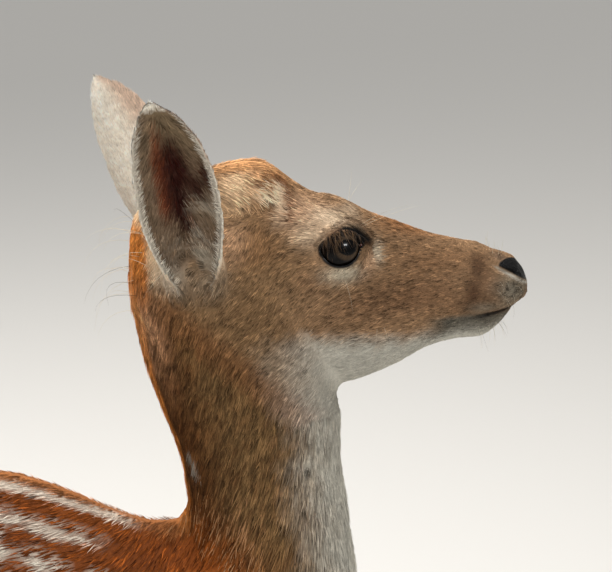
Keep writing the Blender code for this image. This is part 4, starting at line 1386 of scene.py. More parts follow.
def skin_material():
    """Hair-like streaks over the skin, and a damp, pebbled nose where it is bare."""
    made = Shader("skin", Specular_IOR_Level=0.12)
    made.painted(made.noise(420, 3), 0.80, 1.14)
    bare = made.node("Attribute", attribute_name="bare")
    gloss = made.node("MapRange", To_Min=0.72, To_Max=0.34)
    made.link(bare, "Fac", gloss, "Value")
    made.link(gloss, "Result", made.surface, "Roughness")
    hairs = made.noise(700, 3, (1, 1, 0.35))
    pebbles = made.node("TexVoronoi", Scale=760.0)
    place = made.node("TexCoord")
    made.link(place, "Object", pebbles, "Vector")
    either = made.node("Mix", data_type="FLOAT")
    made.link(bare, "Fac", either, "Factor")
    made.link(hairs, "Fac", either, "A")
    made.link(pebbles, "Distance", either, "B")
    made.bump(either, "Result", 0.7, 0.0011)
    return made.material


def coat_material():
    made = Shader("coat", Roughness=0.7, Specular_IOR_Level=0.05)
    made.painted(made.noise(260, 3), 0.86, 1.14)
    made.bump(made.noise(900, 2), "Fac", 0.3, 0.0006)
    return made.material


def eye_material():
    """A dark eye under a clear wet coat."""
    made = Shader("eye", Roughness=0.30, Coat_Weight=0.18, Coat_Roughness=0.03, Specular_IOR_Level=0.05)
    made.painted(made.noise(1500, 2), 0.9, 1.1)
    return made.material


def wet_material():
    made = Shader("lid_rim", Roughness=0.35, Coat_Weight=0.25, Coat_Roughness=0.15, Specular_IOR_Level=0.1)
    grain = made.noise(1400, 3)
    made.painted(grain, 0.8, 1.2)
    made.bump(grain, "Fac", 0.25, 0.0004)
    return made.material


def hair_material():
    made = Shader("long_hair", Roughness=0.45, Specular_IOR_Level=0.3)
    made.painted(made.noise(300, 2), 0.85, 1.1)
    return made.material


HORN_RAMP = ((0.30, (0.012, 0.010, 0.009, 1)), (0.72, (0.085, 0.066, 0.050, 1)))


def horn_material():
    """Hoof horn: dark, paler and rougher in cloudy patches, with fine lengthwise grain."""
    made = Shader("hoof_horn", Specular_IOR_Level=0.35)
    grain = made.noise(520, 5, (1, 1, 0.12))
    cloud = made.noise(70, 3)
    ramp = made.node("ValToRGB")
    for element, (position, colour) in zip(ramp.color_ramp.elements, HORN_RAMP):
        element.position = position
        element.color = colour
    made.link(cloud, "Fac", ramp, "Fac")
    made.shaded(ramp, "Color", grain, 0.7, 1.35)
    rough = made.node("MapRange", To_Min=0.38, To_Max=0.62)
    made.link(cloud, "Fac", rough, "Value")
    made.link(rough, "Result", made.surface, "Roughness")
    made.bump(grain, "Fac", 0.5, 0.0008)
    return made.material


# ---------------------------------------------------------------- eyes

EYEBALL_RADIUS = 15.35
CORNEA_RADIUS, CORNEA_FORWARD = 13.2, 3.5
PUPIL_HALVES = (6.9, 5.6)
IRIS_RADIUS = 10.0
IRIS_INNER = 4.5
EYE_GRID = (84, 128)
EYE_TONES = {
    "pupil": tone(4, 4, 5),
    "iris": tone(66, 51, 36),
    "iris_deep": tone(20, 13, 9),
    "limbus": tone(7, 5, 4),
    "white": tone(8, 5, 4),
}
RIM_RADIUS = 0.62
RIM_SIDES, RIM_STEPS = 8, 144
CARUNCLE_ANGLE = 9.0
CARUNCLE_RADII = (2.3, 1.3, 1.1)
CARUNCLE_GRID = (12, 20)
CARUNCLE_TONE = tone(92, 46, 34)
LASH_COUNT = 125
LASH_TONE = tone(108, 82, 58)
WHISKER_PALE, WHISKER_DARK = tone(226, 214, 190), tone(80, 62, 46)


def closed_mesh(name, points, faces, colours):
    """A mesh from points in millimetres of the head's frame, its faces turned outwards."""
    mesh = bpy.data.meshes.new(name)
    mesh.from_pydata(to_animal(np.array(points) * MM).tolist(), [], [list(f) for f in faces])
    bm = bmesh.new()
    bm.from_mesh(mesh)
    bmesh.ops.recalc_face_normals(bm, faces=bm.faces)
    bm.to_mesh(mesh)
    bm.free()
    paint(mesh, colours)
    mesh.shade_smooth()
    return mesh


def grid_faces(rows, columns, start=0, closed=False):
    """Faces of rings, row after row, and from the last row to the first if closed."""
    faces = []
    for i in range(rows - 1 + closed):
        a, b = start + i * columns, start + (i + 1) % rows * columns
        for j in range(columns):
            k = (j + 1) % columns
            faces.append((a + j, a + k, b + k, b + j))
    return faces


def tube_faces(rows, columns, start=0):
    """Faces of rings, row after row, with both ends capped."""
    last = start + (rows - 1) * columns
    caps = [range(start, start + columns), range(last, last + columns)]
    return grid_faces(rows, columns, start) + caps


def eyeball_mesh(name, side):
    """A ball with the cornea's bulge in front, turned to where the eye looks."""
    rings, sides = EYE_GRID
    ahead, up, gaze = eye_axes(side, EYE_GAZE)
    theta = math.pi * np.linspace(0.004, 0.996, rings) ** 1.35
    phi = full_turn(sides)
    sunk = CORNEA_RADIUS**2 - (CORNEA_FORWARD * np.sin(theta)) ** 2
    cornea = CORNEA_FORWARD * np.cos(theta) + np.sqrt(sunk)
    reach = np.maximum(EYEBALL_RADIUS, np.where(theta < math.pi / 2, cornea, 0))
    a = (reach * np.sin(theta))[:, None] * np.cos(phi)[None]
    b = (reach * np.sin(theta))[:, None] * np.sin(phi)[None]
    out = (reach * np.cos(theta))[:, None] + 0 * a
    points = eye_middle(side) + a[..., None] * ahead + b[..., None] * up + out[..., None] * gaze
    colours = eye_tones(a.ravel(), b.ravel(), np.tile(phi, rings), out.ravel() > 0)
    return closed_mesh(name, points.reshape(-1, 3), tube_faces(rings, sides), colours)


def eye_tones(a, b, turn, facing_out):
    """Pupil, iris and the dark ball round it, from places across and up on the eye."""
    rho = np.hypot(a, b)
    pupil = np.hypot(a / PUPIL_HALVES[0], b / PUPIL_HALVES[1])
    spokes = noise(np.column_stack([np.cos(turn) * 9, np.sin(turn) * 9, rho * 0.25]), 0.5, 31)
    share = np.clip((rho - IRIS_INNER) / (IRIS_RADIUS - IRIS_INNER), 0, 1)
    colours = EYE_TONES["iris"] * (1 + 0.35 * spokes)[:, None]
    deep = np.maximum(smooth(share, 0.35, 0.0), smooth(share, 0.55, 1.0) * 0.8)
    for toned, weight in (
        ("iris_deep", deep),
        ("limbus", smooth(rho, IRIS_RADIUS - 1.1, IRIS_RADIUS)),
        ("white", smooth(rho, IRIS_RADIUS + 0.2, IRIS_RADIUS + 1.6)),
        ("pupil", smooth(pupil + 0.05 * spokes, 1.07, 0.96) * facing_out),
    ):
        colours = blended(colours, EYE_TONES[toned], weight)
    return np.where(facing_out[:, None], colours, EYE_TONES["white"])


def rim_points(side, degrees, gap=0.0, rise=0.0):
    """Places along the edge of the lids, at angles round the eye."""
    angle = np.radians(degrees)
    ahead, up, out = eye_axes(side)
    rim = lid_radius(np.cos(angle), np.sin(angle))
    high = lid_height(rim) + rise
    a, b = (rim + gap) * np.cos(angle), (rim + gap) * np.sin(angle)
    return eye_middle(side) + a[:, None] * ahead + b[:, None] * up + high[:, None] * out


def rim_mesh(name, side):
    """The wet black edge of the lids, with the small red corner in front."""
    degrees = np.linspace(0, 360, RIM_STEPS, endpoint=False)
    path = rim_points(side, degrees, gap=0.15, rise=-0.25)
    way = unit(np.roll(path, -1, axis=0) - np.roll(path, 1, axis=0))
    ahead, up, out = eye_axes(side)
    outward = unit(out - way * (way @ out)[:, None])
    across = np.cross(way, outward)
    turn = full_turn(RIM_SIDES)[None, :, None]
    thick = RIM_RADIUS * (1 + 0.25 * np.cos(np.radians(degrees - 220)))
    ring = np.cos(turn) * outward[:, None] + np.sin(turn) * across[:, None]
    points = (path[:, None] + ring * thick[:, None, None]).reshape(-1, 3)
    corner = rim_points(side, np.array([CARUNCLE_ANGLE]), gap=-2.2, rise=-0.6)[0]
    levels, sides = CARUNCLE_GRID
    theta = np.linspace(0.1, math.pi - 0.1, levels)[:, None]
    phi = full_turn(sides)[None]
    long_way, high, deep = CARUNCLE_RADII
    bead = corner + (long_way * np.cos(theta) + 0 * phi)[..., None] * ahead
    bead = bead + (high * np.sin(theta) * np.cos(phi))[..., None] * up
    bead = bead + (deep * np.sin(theta) * np.sin(phi))[..., None] * out
    faces = grid_faces(RIM_STEPS, RIM_SIDES, closed=True) + tube_faces(levels, sides, len(points))
    colours = np.repeat([TONES["lid"] * 0.55, CARUNCLE_TONE], [len(points), levels * sides], axis=0)
    return closed_mesh(name, np.concatenate([points, bead.reshape(-1, 3)]), faces, colours)


# ---------------------------------------------------------------- lashes, whiskers and long hairs

HAIR_STEPS = 7
HAIR_SIDES = 3


def hair_mesh(name, starts, ways, bends, lengths, radii, colours):
    """Thin tapering hairs, each a closed tube. Everything is in millimetres of the head's frame."""
    share = np.linspace(0, 1, HAIR_STEPS)
    path = starts[:, None] + ways[:, None] * (lengths[:, None] * share)[..., None]
    path = path + bends[:, None] * (lengths[:, None] * share**2)[..., None]
    along_it = unit(np.gradient(path, axis=1))
    side = unit(np.cross(along_it, np.array([0.31, 0.22, 0.92])))
    other = np.cross(along_it, side)
    turn = full_turn(HAIR_SIDES)[:, None]
    thick = radii[:, None] * (1 - 0.92 * share) ** 0.8
    ring = np.cos(turn) * side[:, :, None] + np.sin(turn) * other[:, :, None]
    points = path[:, :, None] + ring * thick[:, :, None, None]
    size = HAIR_STEPS * HAIR_SIDES
    faces = []
    for i in range(len(starts)):
        faces += tube_faces(HAIR_STEPS, HAIR_SIDES, i * size)
    return closed_mesh(name, points.reshape(-1, 3), faces, np.repeat(colours, size, axis=0))


def lash_mesh(name, side):
    """The upper lid's lashes, hanging over the eye."""
    rng = np.random.default_rng(41)
    degrees = np.linspace(30, 168, LASH_COUNT) + rng.normal(0, 1.6, LASH_COUNT)
    angle = np.radians(degrees)
    ahead, up, out = eye_axes(side)
    radial = np.cos(angle)[:, None] * ahead + np.sin(angle)[:, None] * up
    starts = rim_points(side, degrees, gap=0.5 + 0.3 * rng.random(LASH_COUNT), rise=0.2)
    ways = unit(out * 0.65 + radial * 0.15 - up * 0.45 + ahead * 0.15 + rng.normal(0, 0.22, (LASH_COUNT, 3)))
    bends = -up * 0.8 - out * 0.35 + ahead * 0.1 + rng.normal(0, 0.18, (LASH_COUNT, 3))
    longest = 3.8 + 6.2 * np.sin(np.radians((degrees - 24) / 148 * 180))
    lengths = longest * rng.uniform(0.35, 1.3, LASH_COUNT)
    shades = np.where(rng.random(LASH_COUNT) < 0.5, 0.12, rng.uniform(0.5, 1.5, LASH_COUNT))
    colours = LASH_TONE * shades[:, None]
    return hair_mesh(name, starts, ways, bends, lengths, np.full(LASH_COUNT, 0.28), colours)


# Long hairs of the face: where they are rooted, way, bend, count, spread, length and radius.
WHISKERS = [
    ((126, 18, -40), (0.25, 0.9, -0.1), (-0.25, 0, -0.3), 4, (8, 3, 3), 13, 0.08),
    ((120, 19, -47), (0.15, 0.9, -0.35), (-0.2, 0, -0.3), 5, (10, 3, 3), 15, 0.08),
    ((112, 16, -75), (0.2, 0.5, -0.85), (-0.2, 0, -0.15), 12, (11, 6, 3), 14, 0.08),
    ((125, 9, -70), (0.6, 0.3, -0.75), (-0.2, 0, -0.2), 7, (4, 5, 4), 12, 0.08),
    ((122, 8, -16), (0.15, 0.2, 1.0), (-0.1, 0, -0.1), 4, (7, 4, 1), 12, 0.13),
    ((22, 28, 17), (0.45, 0.55, 0.75), (0.15, 0, -0.2), 2, (4, 3, 2), 44, 0.13),
    ((4, 42, -22), (0.15, 0.75, -0.7), (-0.1, 0.1, -0.25), 1, (4, 2, 2), 24, 0.11),
    ((-6, 38, 14), (-0.2, 0.8, 0.55), (-0.1, 0, -0.2), 2, (6, 3, 2), 26, 0.11),
    ((30, 34, -62), (0.1, 0.8, -0.6), (-0.2, 0, -0.2), 2, (5, 3, 4), 20, 0.10),
    ((-136, 22, 0), (-0.85, 0.2, 0.3), (0.35, 0, -0.5), 5, (4, 9, 12), 58, 0.14),
    ((-142, 14, -34), (-0.95, 0.1, 0.2), (0.45, 0, -0.45), 5, (3, 9, 16), 50, 0.14),
    ((-128, 48, -4), (-0.75, 0.35, -0.35), (0.0, 0.1, -0.3), 9, (5, 7, 9), 16, 0.11),
]


def whisker_mesh(name, skin):
    """The long hairs of the table, each rooted at the nearest point of the skin."""
    rng = np.random.default_rng(43)
    points = in_head(vertex_points(skin))
    tree = tree_of(points)
    hairs = []
    for place, way, bend, count, spread, length, radius in WHISKERS:
        for side in (1, -1):
            for _ in range(count):
                near = (np.array(place) + rng.uniform(-1, 1, 3) * spread) * (1, side, 1)
                _, index, _ = tree.find(near)
                lie = unit(mirrored(way, side) + rng.normal(0, 0.14, 3))
                curve = mirrored(bend, side) + rng.normal(0, 0.08, 3)
                hairs.append((points[index], lie, curve, length * rng.uniform(0.7, 1.2), radius))
    pale = rng.random(len(hairs)) < 0.8
    colours = np.where(pale[:, None], WHISKER_PALE, WHISKER_DARK)
    return hair_mesh(name, *(np.array(column) for column in zip(*hairs)), colours)


# ---------------------------------------------------------------- hooves

HOOF_GRID = (26, 44)
HOOF_RINGS = 8
HOOF_TUCK = 2.0 * MM  # how far a claw runs up under the hair
DEWCLAW_GRID = (14, 24)


def claw_loops(point, direction, inward):
    """One claw: a pointed sole on the floor, ringed walls, rising under the hair of the coronet."""
    levels, sides = HOOF_GRID
    turn = full_turn(sides)
    c, s = np.cos(turn), np.sin(turn)
    flatness = np.where(s * inward > 0, CLAW_INNER_FLATNESS, 1.0)
    splay = CLAW_SPLAY * -inward
    loops = []
    for share in np.concatenate([[0, 0], np.linspace(0, 1, levels) ** 1.15]):
        grow = 1 - 0.05 * (1 - smooth(share, 0, 0.08)) if loops else 0.9
        grow *= 1 + 0.010 * math.sin(share * HOOF_RINGS * 2 * math.pi) * (0.1 < share < 0.95)
        grow *= 1 - 0.10 * smooth(share, 0.86, 1.0)
        heel = share * CORONET_HEEL + (1 - share) * SOLE_HEEL
        toe = share * CORONET_TOE + (1 - share) * SOLE_TOE
        narrow = 1 - (CLAW_TAPER + CLAW_SOLE_TAPER * (1 - share)) * np.clip(c, 0, 1) ** 2
        x = (toe + heel) / 2 + c * (toe - heel) / 2 * grow
        y = s * CLAW_WIDTH / 2 * narrow * flatness * grow - inward * CLAW_OFFSET
        across_x = x * math.cos(splay) - y * math.sin(splay)
        across_y = x * math.sin(splay) + y * math.cos(splay)
        slope = (across_x * direction.x + across_y * direction.y) / direction.z
        top = point.z - slope + HOOF_TUCK
        loops.append(np.column_stack([point.x + across_x, point.y + across_y, share * top]))
    return np.array(loops)


def dewclaw_loops(fetlock, outwards, aft):
    """A small horny cone behind the fetlock, pointing down and outwards."""
    levels, sides = DEWCLAW_GRID
    share = np.linspace(0, 1, levels)
    radius = (DEWCLAW_RADII[0] + (DEWCLAW_RADII[1] - DEWCLAW_RADII[0]) * share**2) * MM
    radius = radius * np.sqrt(np.clip(1 - (share * 0.985) ** 8, 0, 1)) * (1 + 0.02 * np.sin(share * 30))
    start = np.array(fetlock) + np.array([-DEWCLAW_BEHIND * aft, DEWCLAW_ASIDE * outwards, 0]) * MM
    way = mirrored(DEWCLAW_WAY, outwards)
    across = np.cross(way, (0, 1, 0))
    across /= np.linalg.norm(across)
    other = np.cross(way, across)
    turn = full_turn(sides)[None, :, None]
    path = start + way * (share * DEWCLAW_LENGTH)[:, None]
    ring = np.cos(turn) * across + np.sin(turn) * other
    return path[:, None] + ring * radius[:, None, None]


def foot_mesh(name, rows, side, swing):
    point, direction = coronet(rows, side, swing)
    fetlock = swung(rows[FETLOCK_ROW], side, swing) + DEWCLAW_DROP
    lofts = []
    for outwards in (side, -side):
        lofts.append(claw_loops(point, direction, -outwards))
        lofts.append(dewclaw_loops(fetlock, outwards, rows[FETLOCK_ROW][5]))
    mesh = loft_mesh(name, *lofts)
    mesh.shade_smooth()
    return mesh


# ---------------------------------------------------------------- the lie of the coat


def flow(start, *changes):
    """Ways of the hair: start everywhere, then each direction where its weight says so."""
    ways = np.tile(np.array(start, float), (len(changes[0][1]), 1))
    for way, weight in changes:
        ways = blended(ways, np.array(way, float), weight)
    return ways


def sideways(sides):
    """The way straight out to each place's own side."""
    return sides[:, None] * (0.0, 1.0, 0.0)


def head_way(q):
    """Which way the hair lies on the head, in the head's frame."""
    x, y, z = q.h.T
    y = abs(y)
    ways = flow(
        (-1.0, 0.0, -0.12),
        ((-0.8, 0, -0.75), smooth(x, 20, -40) * smooth(z, 5, -25)),
        ((-0.45, 0, -1.0), smooth(x, -70, -105) * smooth(z, 0, -30)),
        ((-0.9, 0, 0.5), smooth(z, 8, 24) * smooth(x, 60, 0)),
    )
    out = sideways(q.head_side)
    ways = ways + out * (smooth(y, 26, 6) * smooth(x, 60, 0) * smooth(z, 0, 20) * 0.5)[:, None]
    crown = smooth(x, -44, -54) * smooth(z, 20, 34)
    ways = blended(ways, out * 0.6 + (0.85, 0, -0.45), crown)
    temple = mound((x, -62, 22), (z, 6, 18)) * smooth(y, 24, 34)
    ways = blended(ways, np.array((-0.35, 0, -1.0)), temple)
    back = smooth(x, -112, -128) * smooth(z, -20, 0)
    ways = blended(ways, np.array((-0.2, 0, -1.0)), back)
    for side in (1, -1):
        a, b, out_of_eye = eye_plane(q.h, side)
        ring = mound((np.hypot(a, b), 0, 24)) * (out_of_eye > -5)
        ahead, up, _ = eye_axes(side)
        around = unit(a[:, None] * ahead + b[:, None] * up)
        ways = ways + around * (ring * 0.9)[:, None]
    return ways


def coat_way(q):
    """Which way the hair lies, in the animal's frame."""
    x, _, z = q.p.T
    out = sideways(q.side)
    ways = flow(
        (-1.0, 0.0, -0.42),
        ((-0.25, 0, -1.0), smooth(x, 120, 215)),
        ((-0.35, 0, -1.0), smooth(x, -270, -340) * smooth(z, 800, 720)),
        ((0.0, 0, -1.0), q.on_leg),
        ((-0.5, 0, -0.9), q.on_tail),
    )
    ways = ways + out * (smooth(q.arc, 16, 3) * 0.5)[:, None]
    neck = flow((-0.30, 0.0, -1.0), ((0.0, 0, -1.0), smooth(q.across_neck, 0.6, 1.0)))
    neck = neck + out * (smooth(q.across_neck, 0.2, 0.0) * 0.45)[:, None]
    neck = neck + out * (smooth(q.across_neck, 0.85, 1.0) * 0.25)[:, None]
    ways = blended(ways, neck, q.on_neck)
    turn = np.array(head_matrix())[:3, :3]
    ways = blended(ways, head_way(q) @ turn.T, q.on_head)
    for side, base, tip, facing in EARS.values():
        up = unit(mirrored(np.array(tip, float) - base, side))
        forward = unit(np.cross(mirrored(facing, side), up) * side)
        inside = up[None] * 0.8 - forward[None] * (q.ear_across * 1.1)[:, None]
        way = np.where(q.ear_inner[:, None] > 0.5, inside, up[None])
        ways = blended(ways, way @ turn.T, q.on_ear * (q.side == side))
    return ways


# ---------------------------------------------------------------- the coat's tufts

# Length and width in millimetres, how many layers deep, and lift from the skin in degrees.
COAT_STYLES = {
    "head": (6.0, 0.60, 1.20, 11),
    "neck": (11.0, 0.66, 3.4, 12),
    "trunk": (11.5, 1.0, 0.60, 9),
    "leg": (7.5, 1.0, 0.42, 9),
    "tail": (26.0, 1.4, 2.6, 12),
    "ear": (6.5, 0.5, 1.8, 9),
}
COAT_NAMES = list(COAT_STYLES)
ROOT_SINK = 0.35 * MM
TUFT_PATCH = 0.003  # how wide each tuft's patch of the OFBake map is
TUFT_PARTS = (0.42, 0.58)  # shares of a tuft's length below and above its widest place
KITE = [(0, 2, 1), (0, 3, 2), (0, 1, 3), (4, 1, 2), (4, 2, 3), (4, 3, 1)]  # a tuft's faces
TUFT_SPREAD = (-0.48, 0.42)  # how much darker or lighter single tufts are
DARK_SHARE, GOLDEN_SHARE = 0.10, 0.22
# Roots darker than the middle: the hair's own darker base, and painted shade between the tufts.
ROOT_BRIGHTNESS, TIP_BRIGHTNESS = 0.45, 1.32
NORMAL_BLEND = 0.42


def region_of(q):
    """The index of each place's region in COAT_NAMES."""
    found = np.full(len(q.p), COAT_NAMES.index("trunk"))
    found[q.on_leg > 0.5] = COAT_NAMES.index("leg")
    found[q.on_neck > 0.5] = COAT_NAMES.index("neck")
    found[q.on_head > 0.5] = COAT_NAMES.index("head")
    found[q.on_tail > 0.5] = COAT_NAMES.index("tail")
    found[q.on_ear > 0.5] = COAT_NAMES.index("ear")
    return found


def coat_size(q):
    """Length, width, cover and lift of the tufts at each place."""
    table = np.array([COAT_STYLES[name] for name in COAT_NAMES])
    length, width, cover, lift = table[region_of(q)].T.copy()
    (px, py, pz), (x, y, z) = q.p.T, q.h.T
    on_head = q.on_head * (1 - q.on_ear)
    off_head = (1 - q.on_neck) * (1 - q.on_head)
    # Weights, and what each does in full: to length, width and cover as a share, to lift in degrees.
    changes = [(smooth(x, 40, 118) * on_head, -0.5, -0.25, 0, 0)]  # muzzle
    for side in (1, -1):
        a, b, out = eye_plane(q.h, side)
        gap = np.hypot(a, b) - lid_radius(a, b)
        changes.append((smooth(gap, 12, 1) * (out > -4) * on_head, -0.5, 0, 0, 4))  # round the eye
        changes.append(((gap < 1.5) * (out > -2) * (on_head > 0.5), 0, 0, -1, 0))
    tuft = smooth(line_distance(x, z, PEDICLE), 9, 3) * smooth(abs(y), 12, 20) * on_head
    fringe = mound((px, 200, 14)) * smooth(abs(py), 18, 8) * (pz < 800)
    inner = q.on_ear * (q.ear_inner > 0.5)
    hollow = smooth(q.ear_share, 0.25, 0.45) * inner * smooth(abs(q.ear_across), 0.85, 0.5)
    changes += [
        (mound((x, -70, 30)) * smooth(z, 20, 40) * on_head, 0.7, 0, 0, 0),  # crown
        (tuft, 0.3, 0, 0, 9),  # the pale tuft by the pedicle
        (q.on_neck * smooth(pz, 830, 760), 0.5, 0.4, 0, 0),  # the neck's base
        (fringe, 0.25, -0.35, 0.8, 4),  # where the nape meets the back
        (smooth(q.arc, 26, 10) * off_head * (1 - q.on_tail), -0.2, -0.25, 0.15, -3),  # spine
        (smooth(q.arc, 130, 80) * off_head * (1 - q.on_leg), 0, 0, 0.45, 0),  # back
        (smooth(px, 250, 320) * (1 - q.on_head) * smooth(pz, 760, 700), 0.35, 0, 0, 3),  # breast
        (q.on_leg * smooth(pz, 420, 60), -0.4, -0.3, 0, 0),  # lower leg
        (inner, 0.5, 0, 0, 0),
        (q.on_ear * smooth(abs(q.ear_across), 0.75, 0.95), -0.35, 0, 0, 0),  # the ears' rims
        (q.on_ear * smooth(q.ear_share, 0.86, 0.97), -0.5, 0, 0, -4),  # and tips
        (hollow, 0, 0, -0.75, 0),
        ((q.bare >= 0.4) & (q.on_ear <= 0.5), 0, 0, -1, 0),  # the nose
    ]
    for weight, longer, wider, more, up in changes:
        length *= 1 + longer * weight
        width *= 1 + wider * weight
        cover *= 1 + more * weight
        lift += up * weight
    return length, width, cover, lift


def triangles_of(mesh):
    mesh.calc_loop_triangles()
    corners = np.empty(len(mesh.loop_triangles) * 3, np.int32)
    mesh.loop_triangles.foreach_get("vertices", corners)
    return corners.reshape(-1, 3)


def carried(ears, corners, weights):
    """The ears' facts at places on triangles: the first two blended, the rest from the nearest corner."""
    facts = (ears[corners] * weights[:, :, None]).sum(axis=1)
    nearest = np.argmax(weights, axis=1)
    facts[:, 2:] = ears[corners[np.arange(len(corners)), nearest]][:, 2:]
    return facts


class Roots:
    """Tufts' roots scattered over the skin, each with its place, normal and ear facts."""

    def __init__(self, mesh, ears, seed):
        points, normals = vertex_points(mesh), mesh_normals(mesh)
        corners = triangles_of(mesh)
        a, b, c = (points[corners[:, i]] for i in range(3))
        area = np.linalg.norm(np.cross(b - a, c - a), axis=1) / 2
        middle = Places((a + b + c) / 3, carried(ears, corners, np.full((len(a), 3), 1 / 3)))
        markings(middle)
        length, width, cover, _ = coat_size(middle)
        total = np.cumsum(cover * area / (length * width * MM * MM / 2))
        self.rng = rng = np.random.default_rng(seed)
        count = int(total[-1])
        at = np.searchsorted(total, np.arange(count) + rng.random(count))
        at = np.minimum(at, len(corners) - 1)
        u, v = rng.random(count), rng.random(count)
        over = u + v > 1
        u, v = np.where(over, 1 - u, u), np.where(over, 1 - v, v)
        weights = np.column_stack([1 - u - v, u, v])
        chosen = corners[at]
        self.points = (points[chosen] * weights[:, :, None]).sum(axis=1)
        self.normals = unit((normals[chosen] * weights[:, :, None]).sum(axis=1))
        self.places = Places(self.points, carried(ears, chosen, weights))
        self.ways = coat_way(self.places)


def tuft_colours(colours, rng, places):
    """Root, middle and tip colours, each tuft a little different."""
    count = len(colours)
    drawn = rng.uniform(*TUFT_SPREAD, count)
    on_neck, on_head = places.on_neck[:, None] > 0.5, places.on_head[:, None] > 0.5
    drawn_out = np.where(on_neck, places.p * (1, 1, 0.35), places.p * (0.4, 1, 1))
    drawn_out = np.where(on_head, places.h * (0.45, 1, 1), drawn_out)
    strength = 1 - 0.85 * smooth(colours[:, 2], 0.20, 0.44)  # pale coat varies least
    varied = (1 + drawn * (0.3 + 0.7 * strength)) * (1 + 0.12 * noise(places.p, 7, 21))
    clumps = 0.75 * noise(drawn_out, 1.6, 22) + 0.2 * noise(drawn_out, 3.6, 23)
    varied *= np.clip(1 + strength * clumps, 0.4, 1.8)
    dark = rng.random(count) < DARK_SHARE
    varied = np.where(dark, varied * (1 - 0.34 * strength), varied)
    middle = colours * varied[:, None]
    tip = middle * TIP_BRIGHTNESS + 0.003
    base = smooth(abs(places.p[:, 0] - 225), 55, 20) * smooth(places.p[:, 2], 800, 770) * places.on_neck
    golden = (rng.random(count) < GOLDEN_SHARE * base)[:, None]
    tip = np.where(golden, TONES["fawn"] * 1.2, tip)
    middle = np.where(golden, TONES["fawn"] * 0.95, middle)
    return middle * ROOT_BRIGHTNESS, middle, tip


def make_tufts(roots, chosen, length, width, lift, colours):
    """Points, triangles, colours and normals of the chosen tufts: each a kite-shaped closed lock."""
    rng = roots.rng
    points, normals = roots.points[chosen], roots.normals[chosen]
    count = len(points)
    ways = roots.ways[chosen] + rng.normal(0, 0.10, (count, 3))
    ways = unit(ways - normals * (ways * normals).sum(axis=1, keepdims=True))
    across = np.cross(normals, ways)
    length = length[chosen] * rng.uniform(0.7, 1.25, count) * MM
    width = width[chosen] * rng.uniform(0.75, 1.25, count) * MM
    lift = np.radians(lift[chosen] + rng.normal(0, 3.0, count))
    rise = ways * np.cos(lift)[:, None] + normals * np.sin(lift)[:, None]
    flat = np.radians(np.degrees(lift) * 0.45 - 1.0)
    bend = rng.normal(0, 0.09, count)
    onward = ways * np.cos(flat)[:, None] + normals * np.sin(flat)[:, None] + across * bend[:, None]
    root = points - normals * ROOT_SINK
    lower, upper = TUFT_PARTS
    middle = root + rise * (length * lower)[:, None]
    tip = middle + onward * (length * upper)[:, None]
    half = across * (width / 2)[:, None]
    keel = middle + normals * (width * 0.35)[:, None]
    corners = np.stack([root, middle - half, middle + half, keel, tip], axis=1)
    faces = (np.arange(count)[:, None, None] * 5 + np.array(KITE)[None]).reshape(-1, 3)
    dark, mid, light = (colour[chosen] for colour in colours)
    shades = np.stack([dark, mid, mid, mid * 1.04, light], axis=1)
    own = np.stack([normals, -across, across, normals, normals], axis=1)
    share = NORMAL_BLEND * (1 - 0.8 * roots.places.on_ear[chosen])[:, None, None]
    face_up = np.cross(across, rise)
    face_up = face_up * np.sign((face_up * normals).sum(axis=1, keepdims=True))
    facing = unit(face_up[:, None] * share + own * (1 - share))
    return corners.reshape(-1, 3), faces, shades.reshape(-1, 3), facing.reshape(-1, 3)


def unwrapped(q, region):
    """Each root's place on an unwrap of its region, from 0 to 1."""
    if region == "ear":
        across = q.ear_across * 0.23 + np.where(q.ear_inner > 0.5, 0.25, 0.75)
        return np.column_stack([across, q.ear_share])
    (x, y, z), (hx, hy, hz) = q.p.T, q.h.T
    hind = np.interp(z, [0, 350, 500], [-370.0, -395.0, -330.0])
    axes = {
        "head": (abs(hy), hz + 33, hx),
        "neck": (abs(y), x - (q.front + q.back) / 2, z),
        "trunk": (abs(y), z - 620, x),
        "tail": (y, x + 436, z),
        "leg": (abs(y) - 70, x - np.where(x > 0, 238.0, hind), z),
    }
    aside, ahead, length = axes[region]
    uv = np.column_stack([np.arctan2(aside, ahead), length])
    return (uv - uv.min(axis=0)) / (uv.max(axis=0) - uv.min(axis=0) + 1e-9)


def coat_mesh(name, corners, faces, shades, facing, uv):
    mesh = bpy.data.meshes.new(name)
    mesh.vertices.add(len(corners))
    mesh.loops.add(faces.size)
    mesh.polygons.add(len(faces))
    mesh.vertices.foreach_set("co", corners.astype(np.float32).ravel())
    mesh.loops.foreach_set("vertex_index", faces.astype(np.int32).ravel())
    mesh.polygons.foreach_set("loop_start", np.arange(0, faces.size, 3, dtype=np.int32))
    mesh.polygons.foreach_set("loop_total", np.full(len(faces), 3, np.int32))
    mesh.update(calc_edges=True)
    paint(mesh, shades)
    layer = mesh.uv_layers.new(name="OFBake")
    around_root = np.array([(0, 0), (-1, 0.4), (1, 0.4), (0, 0.7), (0, 1)]) * TUFT_PATCH / 2
    spread = (uv[:, None] * (1 - 2 * TUFT_PATCH) + TUFT_PATCH / 2 + around_root[None]).reshape(-1, 2)
    layer.data.foreach_set("uv", spread[faces.ravel()].astype(np.float32).ravel())
    mesh.shade_smooth()
    mesh.normals_split_custom_set_from_vertices(facing.tolist())
    return mesh


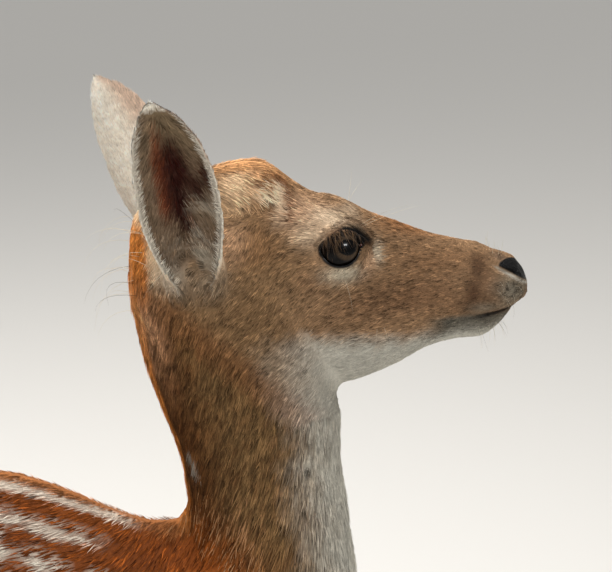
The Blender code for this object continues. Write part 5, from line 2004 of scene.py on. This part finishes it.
def coat_pieces(skin, ears):
    """The coat's meshes, split by region and side."""
    roots = Roots(skin, ears, 71)
    q = roots.places
    colours = tuft_colours(markings(q), roots.rng, q)
    length, width, _, lift = coat_size(q)
    region = region_of(q)
    left = np.where(q.on_head > 0.5, q.head_side, q.side) > 0
    front = q.p[:, 0] > 0
    sides = (("_left", left), ("_right", ~left))
    pieces = []
    for index, name in enumerate(COAT_NAMES):
        ends = (("_fore", front), ("_hind", ~front)) if name in ("trunk", "leg") else (("", True),)
        for end_name, end in ends:
            for side_name, side in (("", True),) if name == "tail" else sides:
                chosen = np.nonzero((region == index) & end & side)[0]
                made = make_tufts(roots, chosen, length, width, lift, colours)
                uv = unwrapped(q, name)[chosen]
                pieces.append(coat_mesh(f"coat_{name}{end_name}{side_name}", *made, uv))
    return pieces


# ---------------------------------------------------------------- the model


def add_piece(mesh, material, shift, slot_name, *nodes):
    mesh.materials.append(material)
    piece = new_object(mesh.name, mesh)
    set_points(mesh, vertex_points(mesh) + np.array(shift))
    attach(piece, "root")
    if nodes:
        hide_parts(*nodes)


def add_skin_and_coat(shift):
    mesh = whole_skin()
    refine(mesh, near_details, 2)
    ears = skin_details(mesh)
    places = Places(vertex_points(mesh), ears)
    paint(mesh, markings(places))
    bare = mesh.attributes.new("bare", "FLOAT", "POINT")
    bare.data.foreach_set("value", places.bare.astype(np.float32))
    mesh.shade_smooth()
    fur = coat_material()
    for coat in coat_pieces(mesh, ears):
        add_piece(coat, fur, shift, "coat")
    add_piece(whisker_mesh("whiskers", mesh), hair_material(), shift, "coat")
    flesh = sorted(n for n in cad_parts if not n.startswith(("eye", "claw", "dewclaw")))
    mesh.name = "skin"
    add_piece(mesh, skin_material(), shift, "coat", *flesh)


def add_eyes(shift):
    glass, wet, hair = eye_material(), wet_material(), hair_material()
    for name, side in (("left", 1), ("right", -1)):
        add_piece(eyeball_mesh(f"eyeball_{name}", side), glass, shift, "eye", f"eye_{name}")
        add_piece(rim_mesh(f"lid_rim_{name}", side), wet, shift, "eye")
        add_piece(lash_mesh(f"lashes_{name}", side), hair, shift, "coat")


def add_hooves(shift):
    horn = horn_material()
    for name, rows, side, swing in LEGS:
        nodes = [n for n in sorted(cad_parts) if n.startswith(("claw", "dewclaw")) and name in n]
        add_piece(foot_mesh(f"hoof_{name}", rows, side, swing), horn, shift, "horn", *nodes)


model_shift = shift_of_the_model()
add_camera(model_shift)
add_stage(model_shift)
add_eyes(model_shift)
add_hooves(model_shift)
add_skin_and_coat(model_shift)
